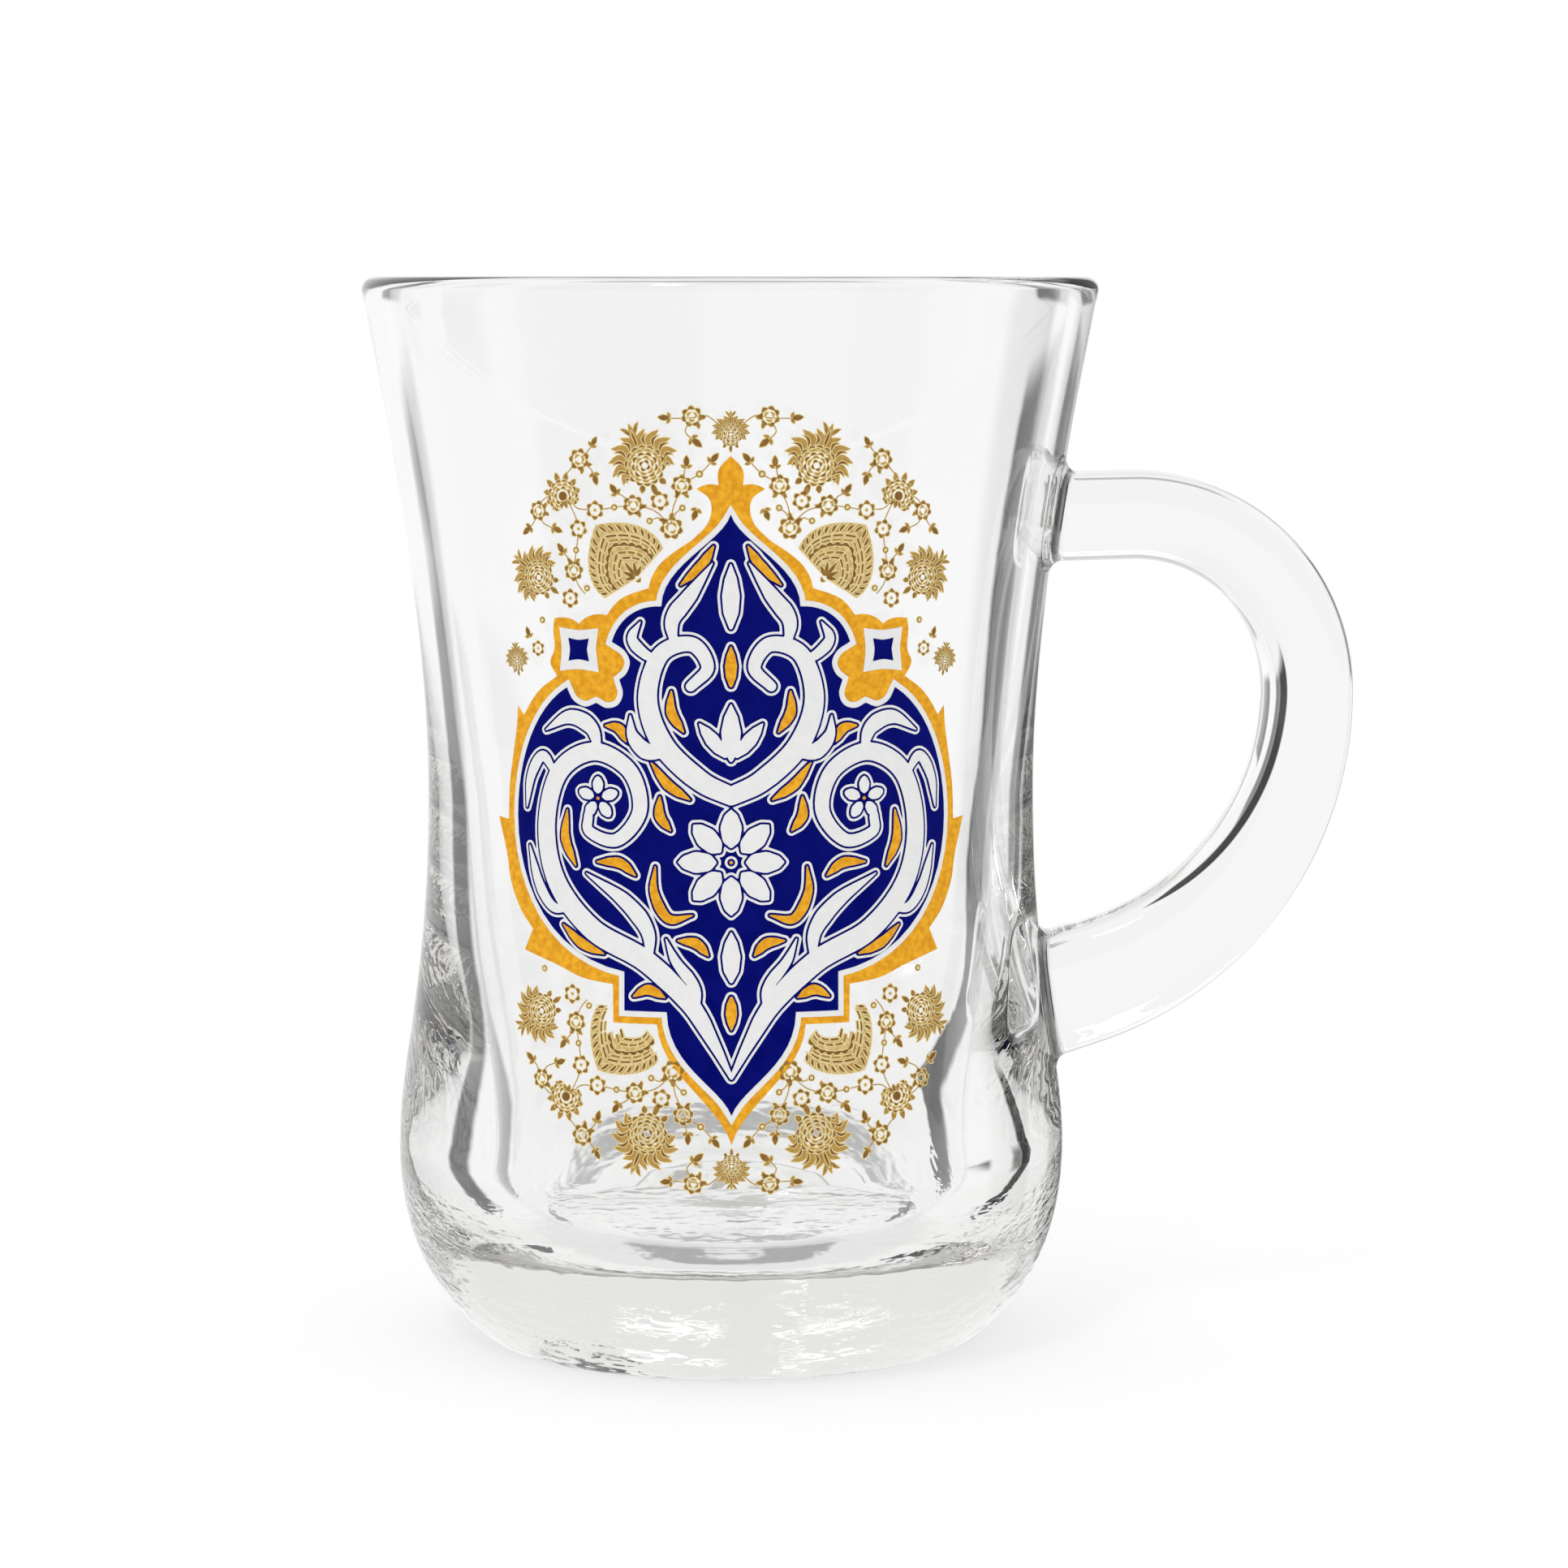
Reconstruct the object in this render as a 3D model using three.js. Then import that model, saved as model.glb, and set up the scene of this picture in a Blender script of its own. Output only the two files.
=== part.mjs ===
// Handled tea glass: a pressed glass body, a glass handle fused to its side, and a fired enamel print.
// Millimetres, +Z up. The origin is the middle of the flat foot, the handle points to +X, the print faces -Y.
import * as THREE from "three";
import { TessellateModifier } from "three/addons/modifiers/TessellateModifier.js";

// Glass body
const glassHeight = 92.9;
const rimDiameter = 64;
const waistDiameter = 53.1;
const waistHeight = 49;
const bulgeDiameter = 58.6;
const bulgeHeight = 17;
const footDiameter = 42;
const footEdgeWidth = 1.9;
const footEdgeHeight = 1.2;
const heelOutShare = 0.64;
const heelUpShare = 0.234;
const heelTopShare = 0.456;
const rimWall = 2.2;
const flareWall = 2.15;
const waistWall = 2.75;
const bellyWall = 4.6;
const bulgeWall = 7.7;
const baseThickness = 9.5;
const floorCornerRadius = 6.5;
const bulgeEase = 8;
const waistEaseBelow = 18;
const waistEaseAbove = 12;
const rimEase = 16;
const rimFlare = 0.2;

// Handle
const handleReach = 54.4;
const handleTurnHeight = 56.9;
const handleUpperRadius = 15.4;
const handleLowerRadius = 27;
const handleLowerSweep = THREE.MathUtils.degToRad(75);
const handleThickness = 7.7;
const handleUpperRootHeight = 8.6;
const handleLowerRootHeight = 12.2;
const handleDepth = 9;
const handleSquareness = 2.6;
const handleSwellPower = 1.4;
const fuseGap = 0.3;

// Printed enamel: the artwork is drawn about its middle, and fitted to the medallion's height
const medallionHeight = 56.8;
const printAboveWaist = 1;
const filmThickness = 0.1;
const filmGap = 0.12;
const filmSpacing = 0.08;
const keylineWidth = 0.4;
const mitreLimit = 0.6;
const vineWidth = 1.8;
const upperVineWidth = 1.7;
const vineStartShare = 0.5;
const vineSwell = 8;
const vineTaper = 0.5;
const lotusWidth = 5.6;
const lotusLength = 6.2;
const fanWidth = 5.4;
const fanLength = 6;
const cutFanLength = 3.8;
const sidePalmetteWidth = 4.6;
const sidePalmetteLength = 5.3;
const mediumFlowerSize = 3.6;
const centreFlowerSize = 3;
const rosetteSize = 8.7;
const whorlSize = 3.6;
const axisLotusWidth = 4.4;
const axisLotusLength = 4.8;
const budWidth = 2.4;
const budLength = 5.1;
const pendantWidth = 2.5;
const pendantLength = 4;
const starRadius = 1.35;
const starWaist = 0.7;
const windowRadius = 2.6;
const windowWaist = 1.45;

// Mesh fineness
const turnSteps = 48;
const footEdgeSteps = 3;
const heelSteps = 8;
const bellySteps = 7;
const flareSteps = 8;
const lipSteps = 6;
const insideSteps = 11;
const floorCornerSteps = 6;
const handleSides = 16;
const upperBowSteps = 9;
const lowerBowSteps = 12;
const vineStepsPerPoint = 3;
const outlineStep = 1.2;
const filmEdge = 4.1;
const filmSplits = 16;
const flatGrain = 1e-4;

const v2 = (x, y) => new THREE.Vector2(x, y);
const clearGlass = new THREE.MeshStandardMaterial({ color: 0xeef1f0, roughness: 0.03, metalness: 0 });
const cobaltEnamel = new THREE.MeshStandardMaterial({ color: 0x070d66, roughness: 0.25, metalness: 0 });
const ivoryEnamel = new THREE.MeshStandardMaterial({ color: 0xe9eae5, roughness: 0.35, metalness: 0 });
const amberEnamel = new THREE.MeshStandardMaterial({ color: 0xdc9e33, roughness: 0.4, metalness: 0 });
const goldEnamel = new THREE.MeshStandardMaterial({ color: 0xc4a86b, roughness: 0.45, metalness: 0.3 });

const teaGlass = new THREE.Group();
function addPiece(name, geometry, material) {
  const mesh = new THREE.Mesh(geometry, material);
  mesh.name = name;
  teaGlass.add(mesh);
}

// Outer wall: a flat foot with a rounded edge, a full heel up to the bulge, and two curves over the waist.
const rimRadius = rimDiameter / 2;
const waistRadius = waistDiameter / 2;
const bulgeRadius = bulgeDiameter / 2;
const footRadius = footDiameter / 2;
const lipRadius = rimWall / 2;
const lipHeight = glassHeight - lipRadius;
const heelRadius = footRadius + footEdgeWidth;
const heelOut = (bulgeRadius - heelRadius) * heelOutShare;
const heelRise = bulgeHeight - footEdgeHeight;
const heelUp = heelRise * heelUpShare;
const footEdge = new THREE.QuadraticBezierCurve(
  v2(footRadius, 0),
  v2(heelRadius - (footEdgeHeight * heelOut) / heelUp, 0),
  v2(heelRadius, footEdgeHeight),
);
const heel = new THREE.CubicBezierCurve(
  v2(heelRadius, footEdgeHeight),
  v2(heelRadius + heelOut, footEdgeHeight + heelUp),
  v2(bulgeRadius, bulgeHeight - heelRise * heelTopShare),
  v2(bulgeRadius, bulgeHeight),
);
const belly = new THREE.CubicBezierCurve(
  v2(bulgeRadius, bulgeHeight),
  v2(bulgeRadius, bulgeHeight + bulgeEase),
  v2(waistRadius, waistHeight - waistEaseBelow),
  v2(waistRadius, waistHeight),
);
const flare = new THREE.CubicBezierCurve(
  v2(waistRadius, waistHeight),
  v2(waistRadius, waistHeight + waistEaseAbove),
  v2(rimRadius - rimFlare * rimEase, lipHeight - rimEase),
  v2(rimRadius, lipHeight),
);

// Radius of the outer wall at a height above its foot edge, found by halving along the curve that holds it.
function outerRadius(z) {
  const lower = z < bulgeHeight ? heel : belly;
  const curve = z < waistHeight ? lower : flare;
  let low = 0;
  let high = 1;
  while (high - low > 1e-7) {
    const middle = (low + high) / 2;
    if (curve.getPoint(middle).y < z) low = middle;
    else high = middle;
  }
  return curve.getPoint(low).x;
}

// Glass body: one turned profile, up the outside, over the rounded lip and down the inside to the floor.
function glassBody() {
  const cornerHeight = baseThickness + floorCornerRadius;
  const bellyHeight = (cornerHeight + waistHeight) / 2;
  const flareHeight = (waistHeight + lipHeight) / 2;
  const innerPoint = (z, wall) => v2(outerRadius(z) - wall, z);
  const cornerTop = innerPoint(Math.max(cornerHeight, bulgeHeight), bulgeWall);
  const lip = new THREE.EllipseCurve(rimRadius - lipRadius, lipHeight, lipRadius, lipRadius, 0, Math.PI);
  const inside = new THREE.SplineCurve([
    v2(rimRadius - rimWall, lipHeight),
    innerPoint(flareHeight, flareWall),
    innerPoint(waistHeight, waistWall),
    innerPoint(bellyHeight, bellyWall),
    cornerTop,
  ]);
  const floorCorner = new THREE.EllipseCurve(
    cornerTop.x - floorCornerRadius,
    cornerTop.y,
    floorCornerRadius,
    cornerTop.y - baseThickness,
    0,
    -Math.PI / 2,
    true,
  );
  const runs = [
    [footEdge, footEdgeSteps],
    [heel, heelSteps],
    [belly, bellySteps],
    [flare, flareSteps],
    [lip, lipSteps],
    [inside, insideSteps],
    [floorCorner, floorCornerSteps],
  ];
  const points = [v2(0, 0), v2(footRadius, 0)];
  runs.forEach(([curve, steps]) => points.push(...curve.getPoints(steps).slice(1)));
  points.push(v2(0, baseThickness));
  return new THREE.LatheGeometry(points, turnSteps).rotateX(Math.PI / 2);
}
addPiece("glass_body", glassBody(), clearGlass);

// Handle: rounded sections lofted along a straight root, an upper bow and a longer bow to the lower root.
function handle() {
  const halfThickness = handleThickness / 2;
  const turnX = handleReach - halfThickness;
  const upperX = turnX - handleUpperRadius;
  const lowerX = turnX - handleLowerRadius;
  const upperRootZ = handleTurnHeight + handleUpperRadius;
  const spine = [];
  for (let i = 0; i <= upperBowSteps; i++) {
    const angle = (Math.PI / 2) * (1 - i / upperBowSteps);
    spine.push({ x: upperX, angle, radius: handleUpperRadius, half: halfThickness });
  }
  for (let i = 1; i <= lowerBowSteps; i++) {
    const share = i / lowerBowSteps;
    const half = halfThickness + (handleLowerRootHeight / 2 - halfThickness) * share ** handleSwellPower;
    spine.push({ x: lowerX, angle: -handleLowerSweep * share, radius: handleLowerRadius, half });
  }
  const power = 2 / handleSquareness;
  const around = Array.from({ length: handleSides }, (_, i) => {
    const angle = (2 * Math.PI * i) / handleSides;
    const rounded = (value) => Math.sign(value) * Math.abs(value) ** power;
    return v2(rounded(Math.cos(angle)), rounded(Math.sin(angle)));
  });
  const section = (x, z, half, angle) =>
    around.map(
      (p) =>
        new THREE.Vector3(
          x + p.x * half * Math.cos(angle),
          (p.y * handleDepth) / 2,
          z + p.x * half * Math.sin(angle),
        ),
    );
  const rings = spine.map(({ x, angle, radius, half }) =>
    section(x + radius * Math.cos(angle), handleTurnHeight + radius * Math.sin(angle), half, angle),
  );
  // A root ring lies on the outer wall, one gap clear of it, all the way round.
  const rootRadius = (z) => outerRadius(z) + fuseGap;
  const root = (z, half, angle) =>
    section(0, z, half, angle).map((p) => p.setX(Math.sqrt(rootRadius(p.z) ** 2 - p.y ** 2)));
  const lowerEnd = handleLowerRadius * Math.cos(handleLowerSweep) + lowerX;
  const lowerEndZ = handleTurnHeight - handleLowerRadius * Math.sin(handleLowerSweep);
  const lowerRootZ = lowerEndZ - (lowerEnd - rootRadius(lowerEndZ)) / Math.tan(handleLowerSweep);
  rings.unshift(root(upperRootZ, handleUpperRootHeight / 2, Math.PI / 2));
  rings.push(root(lowerRootZ, handleLowerRootHeight / 2, -Math.PI / 2));
  const points = rings.flat();
  const faces = [];
  for (let r = 0; r + 1 < rings.length; r++) {
    for (let s = 0; s < handleSides; s++) {
      const a = r * handleSides + s;
      const b = r * handleSides + ((s + 1) % handleSides);
      faces.push(a, a + handleSides, b, b, a + handleSides, b + handleSides);
    }
  }
  // Each root closes in a fan about a point on the wall.
  const closeRoot = (z, first, turned) => {
    const middle = points.push(new THREE.Vector3(rootRadius(z), 0, z)) - 1;
    for (let s = 0; s < handleSides; s++) {
      const a = first + s;
      const b = first + ((s + 1) % handleSides);
      faces.push(middle, turned ? a : b, turned ? b : a);
    }
  };
  closeRoot(upperRootZ, 0, true);
  closeRoot(lowerRootZ, (rings.length - 1) * handleSides, false);
  return new THREE.BufferGeometry().setFromPoints(points).setIndex(faces);
}
addPiece("handle", handle(), clearGlass);

// A film: a flat outline in arc length and height about the print's middle, wrapped round the outer wall.
const overPrint = filmThickness + filmGap;
const printCentreHeight = waistHeight + printAboveWaist;
function film(shape, lift = 0) {
  const flat = new THREE.ExtrudeGeometry(shape, { depth: filmThickness, bevelEnabled: false, steps: 1 });
  const fine = new TessellateModifier(filmEdge, filmSplits).modify(flat);
  const place = fine.getAttribute("position");
  // Points that meet are made exactly alike, so that they still meet once they are wrapped.
  const even = (value) => Math.round(value / flatGrain) * flatGrain;
  for (let i = 0; i < place.count; i++) {
    const z = printCentreHeight + even(place.getY(i));
    const wall = outerRadius(z);
    const angle = even(place.getX(i)) / wall;
    const radius = wall + filmGap + lift + place.getZ(i);
    place.setXYZ(i, radius * Math.sin(angle), -radius * Math.cos(angle), z);
  }
  return fine;
}

// A right half outline, from the top of the axis to its bottom, in even steps, closed by its mirror image.
function stepped(path) {
  const points = [path.curves[0].getPoint(0)];
  path.curves.forEach((curve) => {
    const count = curve.isLineCurve ? 1 : Math.max(1, Math.round(curve.getLength() / outlineStep));
    points.push(...curve.getSpacedPoints(count).slice(1));
  });
  return points;
}
const mirrored = (half) => [...half, ...half.slice(1, -1).reverse().map((p) => v2(-p.x, p.y))];
const placed = (points, x, y) => points.map((p) => v2(p.x + x, p.y + y));
const flipped = (points, x, y) => points.map((p) => v2(p.x * x, p.y * y));

// An outline moved outwards by a width, along the middle of the two edge normals at each point.
function widened(points, width) {
  const turn = Math.sign(THREE.ShapeUtils.area(points));
  return points.map((p, i) => {
    const before = p.clone().sub(points.at(i - 1)).normalize();
    const after = points[(i + 1) % points.length].clone().sub(p).normalize();
    const along = before.clone().add(after).normalize();
    const reach = (turn * width) / Math.max(mitreLimit, along.dot(after));
    return v2(p.x + along.y * reach, p.y - along.x * reach);
  });
}

// Cobalt panel: an arched medallion with shoulder lobes, a three-lobed bite at each side and a stepped foot.
function panelHalf() {
  const half = new THREE.Path();
  half.moveTo(0, 23.6);
  half.bezierCurveTo(0.7, 21.3, 5.7, 19.4, 5.72, 16);
  half.bezierCurveTo(7.8, 16.1, 9.4, 14.9, 10, 13);
  half.splineThru([v2(8.9, 12.3), v2(8.43, 11.35), v2(8.73, 10.4), v2(9.35, 9.85)]);
  half.splineThru([v2(9.05, 8.7), v2(9.5, 7.75), v2(10.5, 7.45), v2(11.45, 7.85)]);
  half.splineThru([v2(12.5, 7.5), v2(13.6, 8), v2(14.22, 9.05)]);
  half.bezierCurveTo(17.4, 7.2, 19.5, 2.8, 19.5, -2);
  half.bezierCurveTo(19.5, -8, 15.5, -13.4, 9, -14.4);
  half.lineTo(9, -17.6);
  half.lineTo(5.36, -17.6);
  half.bezierCurveTo(5.3, -22, 0.9, -23.6, 0, -26);
  return stepped(half);
}

// Amber border: a band round the panel with a leafed finial, a corner cartouche and thorns at each side.
function borderHalf() {
  const half = new THREE.Path();
  half.moveTo(0, 28.4);
  half.splineThru([v2(0.8, 27.6), v2(1.06, 26.9), v2(1, 26)]);
  half.quadraticCurveTo(1.9, 26.3, 2.8, 25.7);
  half.splineThru([v2(1.8, 24.95), v2(1.58, 23.9), v2(2, 22.7), v2(3.23, 21.45)]);
  half.splineThru([v2(4.74, 20.45), v2(5.85, 19.5), v2(6.55, 18.4), v2(6.8, 17.5)]);
  half.splineThru([v2(8.7, 16.85), v2(9.7, 16.15), v2(10.45, 15.2)]);
  half.quadraticCurveTo(12, 15.5, 13.04, 14.4);
  half.quadraticCurveTo(13.8, 15.1, 15.36, 14.8);
  half.splineThru([v2(15.5, 13.8), v2(15.4, 12.25), v2(15.85, 11.1), v2(15.2, 9.95)]);
  half.splineThru([v2(16.9, 8.8), v2(18, 7.6), v2(18.75, 6.5)]);
  half.lineTo(19.42, 7.26);
  half.splineThru([v2(19.65, 5.2), v2(20.5, 0.75), v2(20.66, -2.4)]);
  half.lineTo(21.9, -2.24);
  half.splineThru([v2(20.9, -5.3), v2(20.4, -7.6), v2(19.3, -9.8), v2(17.85, -11.4)]);
  half.quadraticCurveTo(18.2, -12.1, 18.74, -13.2);
  half.splineThru([v2(15.3, -14.2), v2(12.85, -15.1), v2(10.04, -15.5)]);
  half.lineTo(10, -18.65);
  half.lineTo(6.2, -18.65);
  half.bezierCurveTo(6, -22.6, 1, -25, 0, -28.4);
  return stepped(half);
}

const borderDrawing = borderHalf();
const printUnit = medallionHeight / (borderDrawing[0].y - borderDrawing.at(-1).y);
const drawn = (x, y) => v2(x * printUnit, y * printUnit);
const outline = (half) => mirrored(half.map((p) => drawn(p.x, p.y)));
const panel = outline(panelHalf());
const keyline = widened(panel, filmSpacing + keylineWidth);
addPiece("print_panel", film(new THREE.Shape(panel)), cobaltEnamel);

const keylineShape = new THREE.Shape(keyline);
keylineShape.holes.push(new THREE.Path(widened(panel, filmSpacing).reverse()));
addPiece("print_keyline", film(keylineShape), ivoryEnamel);

// The border's holes are the panel with its keyline and the two cartouche windows, each around a small star.
const starMiddle = drawn(13.05, 12.25);
const hollowSquare = (radius, waist) =>
  Array.from({ length: 8 }, (_, i) => {
    const reach = i % 2 ? waist : radius;
    const angle = (Math.PI / 4) * (i + 1);
    return v2(reach * Math.cos(angle), reach * Math.sin(angle));
  });
const sides = [["left", -1], ["right", 1]];
const border = new THREE.Shape(outline(borderDrawing));
border.holes.push(new THREE.Path(widened(panel, 2 * filmSpacing + keylineWidth).reverse()));
sides.forEach(([side, sign]) => {
  const x = sign * starMiddle.x;
  border.holes.push(new THREE.Path(placed(hollowSquare(windowRadius, windowWaist), x, starMiddle.y)));
  const star = placed(hollowSquare(starRadius, starWaist), x, starMiddle.y);
  addPiece(`print_star_${side}`, film(new THREE.Shape(star)), cobaltEnamel);
});
addPiece("print_border", film(border), amberEnamel);

// Arabesque over the panel: vines that swell and taper, a rosette, a lotus, a bud and a pendant.
function vine(points, width) {
  const spine = new THREE.SplineCurve(points.map(([x, y]) => drawn(x, y)));
  const steps = points.length * vineStepsPerPoint;
  const edge = (side) =>
    Array.from({ length: steps + 1 }, (_, i) => {
      const share = i / steps;
      const along = spine.getTangent(share);
      const swell = Math.min(1, vineStartShare + vineSwell * share);
      const reach = (side * width * swell * (1 - vineTaper * share)) / 2;
      return spine.getPoint(share).add(v2(-along.y * reach, along.x * reach));
    });
  return [...edge(-1), ...edge(1).reverse()];
}

// A flower: pointed petals round an oval, each with a tip and a valley.
function flower(width, length, petals, valley) {
  return Array.from({ length: 2 * petals }, (_, i) => {
    const angle = (Math.PI * i) / petals + Math.PI / 2;
    const reach = i % 2 ? valley : 1;
    return v2((width / 2) * reach * Math.cos(angle), (length / 2) * reach * Math.sin(angle));
  });
}

const lowerVine = [
  [0.9, -21.2], [3.5, -16.8], [7.2, -13.4], [11.9, -11], [15.3, -7.2], [16.3, -2.6],
  [15, 1.9], [11.7, 3.8], [8.5, 2.3], [7.6, -1], [9.6, -3.5], [12.1, -2.9],
];
const upperVine = [
  [0.75, 0.75], [2.6, 1.6], [5.6, 4.5], [6.9, 8.3], [5.8, 12], [3.2, 12.9], [1.9, 11], [3.3, 9.4],
];
const whorlMiddle = drawn(11.3, -0.1);
sides.forEach(([side, sign]) => {
  const overlay = (points) => film(new THREE.Shape(flipped(points, sign, 1)), overPrint);
  addPiece(`print_lower_vine_${side}`, overlay(vine(lowerVine, vineWidth)), ivoryEnamel);
  addPiece(`print_upper_vine_${side}`, overlay(vine(upperVine, upperVineWidth)), ivoryEnamel);
  const whorl = placed(flower(whorlSize, whorlSize, 5, 0.5), whorlMiddle.x, whorlMiddle.y);
  addPiece(`print_whorl_${side}`, overlay(whorl), ivoryEnamel);
});
const axisPieces = [
  ["print_rosette", -5.2, flower(rosetteSize, rosetteSize, 8, 0.62)],
  ["print_lotus", 5.2, flower(axisLotusWidth, axisLotusLength, 5, 0.6)],
  ["print_bud", 16.85, flower(budWidth, budLength, 2, 0.6)],
  ["print_pendant", -13, flower(pendantWidth, pendantLength, 2, 0.6)],
];
axisPieces.forEach(([name, y, points]) =>
  addPiece(name, film(new THREE.Shape(placed(points, 0, y * printUnit)), overPrint), ivoryEnamel),
);

// Gold flowers on the bare glass round the medallion: a quarter of the field, mirrored about both middle lines.
// The fan palmettes of the bottom row show only the part that the medallion's stepped foot leaves free.
const quarterField = (fanMiddle, fanShown) => [
  ["lotus", 7.5, 28.2, flower(lotusWidth, lotusLength, 9, 0.78)],
  ["fan_palmette", 9.3, fanMiddle, flower(fanWidth, fanShown, 7, 0.86)],
  ["side_palmette", 17.5, 18.5, flower(sidePalmetteWidth, sidePalmetteLength, 8, 0.76)],
  ["small_flower", 14.7, 25.2, flower(mediumFlowerSize, mediumFlowerSize, 7, 0.72)],
];
const rows = [["top", 1, quarterField(20.3, fanLength)], ["bottom", -1, quarterField(21.1, cutFanLength)]];
rows.forEach(([row, up, quarter]) => {
  sides.forEach(([side, sign]) => {
    quarter.forEach(([name, x, y, points]) => {
      const spot = drawn(x, y);
      const shape = new THREE.Shape(flipped(placed(points, spot.x, spot.y), sign, up));
      addPiece(`${name}_${row}_${side}`, film(shape), goldEnamel);
    });
  });
  const middle = flower(centreFlowerSize, centreFlowerSize, 6, 0.7);
  const spot = drawn(0, up * 30.6);
  addPiece(`centre_flower_${row}`, film(new THREE.Shape(placed(middle, spot.x, spot.y))), goldEnamel);
});

export default teaGlass;
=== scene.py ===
"""Handled tea glass: a waisted pressed glass with a fused handle and a fired enamel print on its front."""
from math import ceil, cos, degrees, pi, radians, sin, sqrt

import bpy
import bmesh
import numpy as np
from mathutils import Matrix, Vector
from mathutils.geometry import delaunay_2d_cdt


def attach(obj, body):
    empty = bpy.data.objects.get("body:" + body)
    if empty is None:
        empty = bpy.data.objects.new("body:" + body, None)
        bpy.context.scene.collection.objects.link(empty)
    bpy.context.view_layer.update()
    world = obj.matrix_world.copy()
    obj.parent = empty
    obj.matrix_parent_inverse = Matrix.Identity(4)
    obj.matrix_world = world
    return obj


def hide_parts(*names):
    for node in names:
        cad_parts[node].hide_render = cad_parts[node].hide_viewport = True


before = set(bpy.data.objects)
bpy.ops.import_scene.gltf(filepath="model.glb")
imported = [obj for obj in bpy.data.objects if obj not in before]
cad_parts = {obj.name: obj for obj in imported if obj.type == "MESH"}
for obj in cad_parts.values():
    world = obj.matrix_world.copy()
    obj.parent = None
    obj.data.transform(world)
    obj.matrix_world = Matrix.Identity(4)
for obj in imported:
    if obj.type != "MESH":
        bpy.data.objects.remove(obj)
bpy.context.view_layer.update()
scene = bpy.context.scene
scene.view_settings.view_transform = "Standard"


# Camera: a long lens level with the rim, looking slightly down at the printed front, with the
# handle to the right. Its place and lens are fitted to the photograph's rim, foot and handle.
LENS, SENSOR_WIDTH = 111.56, 36
EYE = (0, -0.425, 0.0923)
TILT_DOWN, TURN_RIGHT = 5.875, 0.627


def placed(name, data):
    """A new object in the scene, at the origin."""
    made = bpy.data.objects.new(name, data)
    scene.collection.objects.link(made)
    return made


camera_data = bpy.data.cameras.new("camera")
camera_data.lens = LENS
camera_data.sensor_width = SENSOR_WIDTH
camera = scene.camera = placed("camera", camera_data)
camera.location = EYE
camera.rotation_euler = (radians(90 - TILT_DOWN), 0, radians(-TURN_RIGHT))


# Stage: a white sweep in a white room, in which dark flags and a few bright strips stand. Clear glass
# shows no colour of its own: its dark lines and white flecks are what it bends in from those.
WHITE = (1, 1, 1, 1)
BACKDROP, SIDES, OVERHEAD, SHADED_TABLE, STRIP, ROOM = 0.96, 1.0, 0.95, 0.86, 1.4, 0.95
STRIP_RATE, LEFT_STRIPS = 1.2, 0.7
FLAG_LEAN, LEAN_FROM = 0.4, -5.0
FRONT_DIM = 0.3
BOUNCES = 24
FLOOR_RADIUS, SHADOW_REACH = 1.5, (0.08, 0.25)
PAPER, PAPER_GLOW = (0.36, 0.36, 0.36, 1), 0.676
LAMP_SIZE, LAMP_POWER = (0.12, 0.2), 1.2
LAMP_PLACE, LAMP_AIM = Vector((-0.25, -0.6, 0.75)), Vector((0, 0, 0.06))


def feed(tree, node, inputs):
    """Fills a node's inputs with values or with other nodes' outputs."""
    for socket, value in dict(inputs).items():
        if isinstance(value, bpy.types.NodeSocket):
            tree.links.new(value, node.inputs[socket])
        else:
            node.inputs[socket].default_value = value


def put(tree, kind, inputs=(), **settings):
    """Adds a node, sets its properties, fills its inputs, and gives its outputs."""
    made = tree.nodes.new(kind)
    for name, value in settings.items():
        setattr(made, name, value)
    feed(tree, made, inputs)
    return made.outputs


def calc(tree, operation, *terms):
    return put(tree, "ShaderNodeMath", enumerate(terms), operation=operation)[0]


def times(tree, product, *terms):
    for term in terms:
        product = calc(tree, "MULTIPLY", product, term)
    return product


def ease(tree, value, low, high, start=0.0, end=1.0):
    """A smooth step of a value from one level to another."""
    terms = {"Value": value, "From Min": low, "From Max": high, "To Min": start, "To Max": end}
    return put(tree, "ShaderNodeMapRange", terms, interpolation_type="SMOOTHSTEP")[0]


def blend(tree, share, first, second):
    """A value between two others, by the share of the second."""
    return put(tree, "ShaderNodeMix", {0: share, 2: first, 3: second})[0]


# Thick glass turns light over and over inside its wall before it lets it out.
scene.cycles.max_bounces = scene.cycles.glossy_bounces = scene.cycles.transmission_bounces = BOUNCES
world = scene.world = bpy.data.worlds.new("white_room")
world.use_nodes = True
world.cycles.sampling_method = "NONE"
room = world.node_tree
room.nodes.clear()
heading = put(room, "ShaderNodeTexCoord")["Generated"]
sideways, forward, upward = put(room, "ShaderNodeSeparateXYZ", {0: heading})
right = times(room, calc(room, "ARCTAN2", sideways, forward), degrees(1))
left = times(room, right, -1.0)
aside = calc(room, "ABSOLUTE", right)
slope = times(room, calc(room, "ARCSINE", upward), degrees(1))
below = calc(room, "MAXIMUM", calc(room, "SUBTRACT", LEAN_FROM, slope), 0.0)
leaning = calc(room, "SUBTRACT", right, times(room, below, FLAG_LEAN))


def band(value, low, low_full, high_full, high):
    """One inside a band of a value, with soft ends, and nought outside."""
    return times(room, ease(room, value, low, low_full), ease(room, value, high_full, high, 1.0, 0.0))


def shaded(field, depth, *bands):
    """A field darkened where all the bands meet."""
    return times(room, field, calc(room, "SUBTRACT", 1.0, times(room, depth, *bands)))


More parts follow.
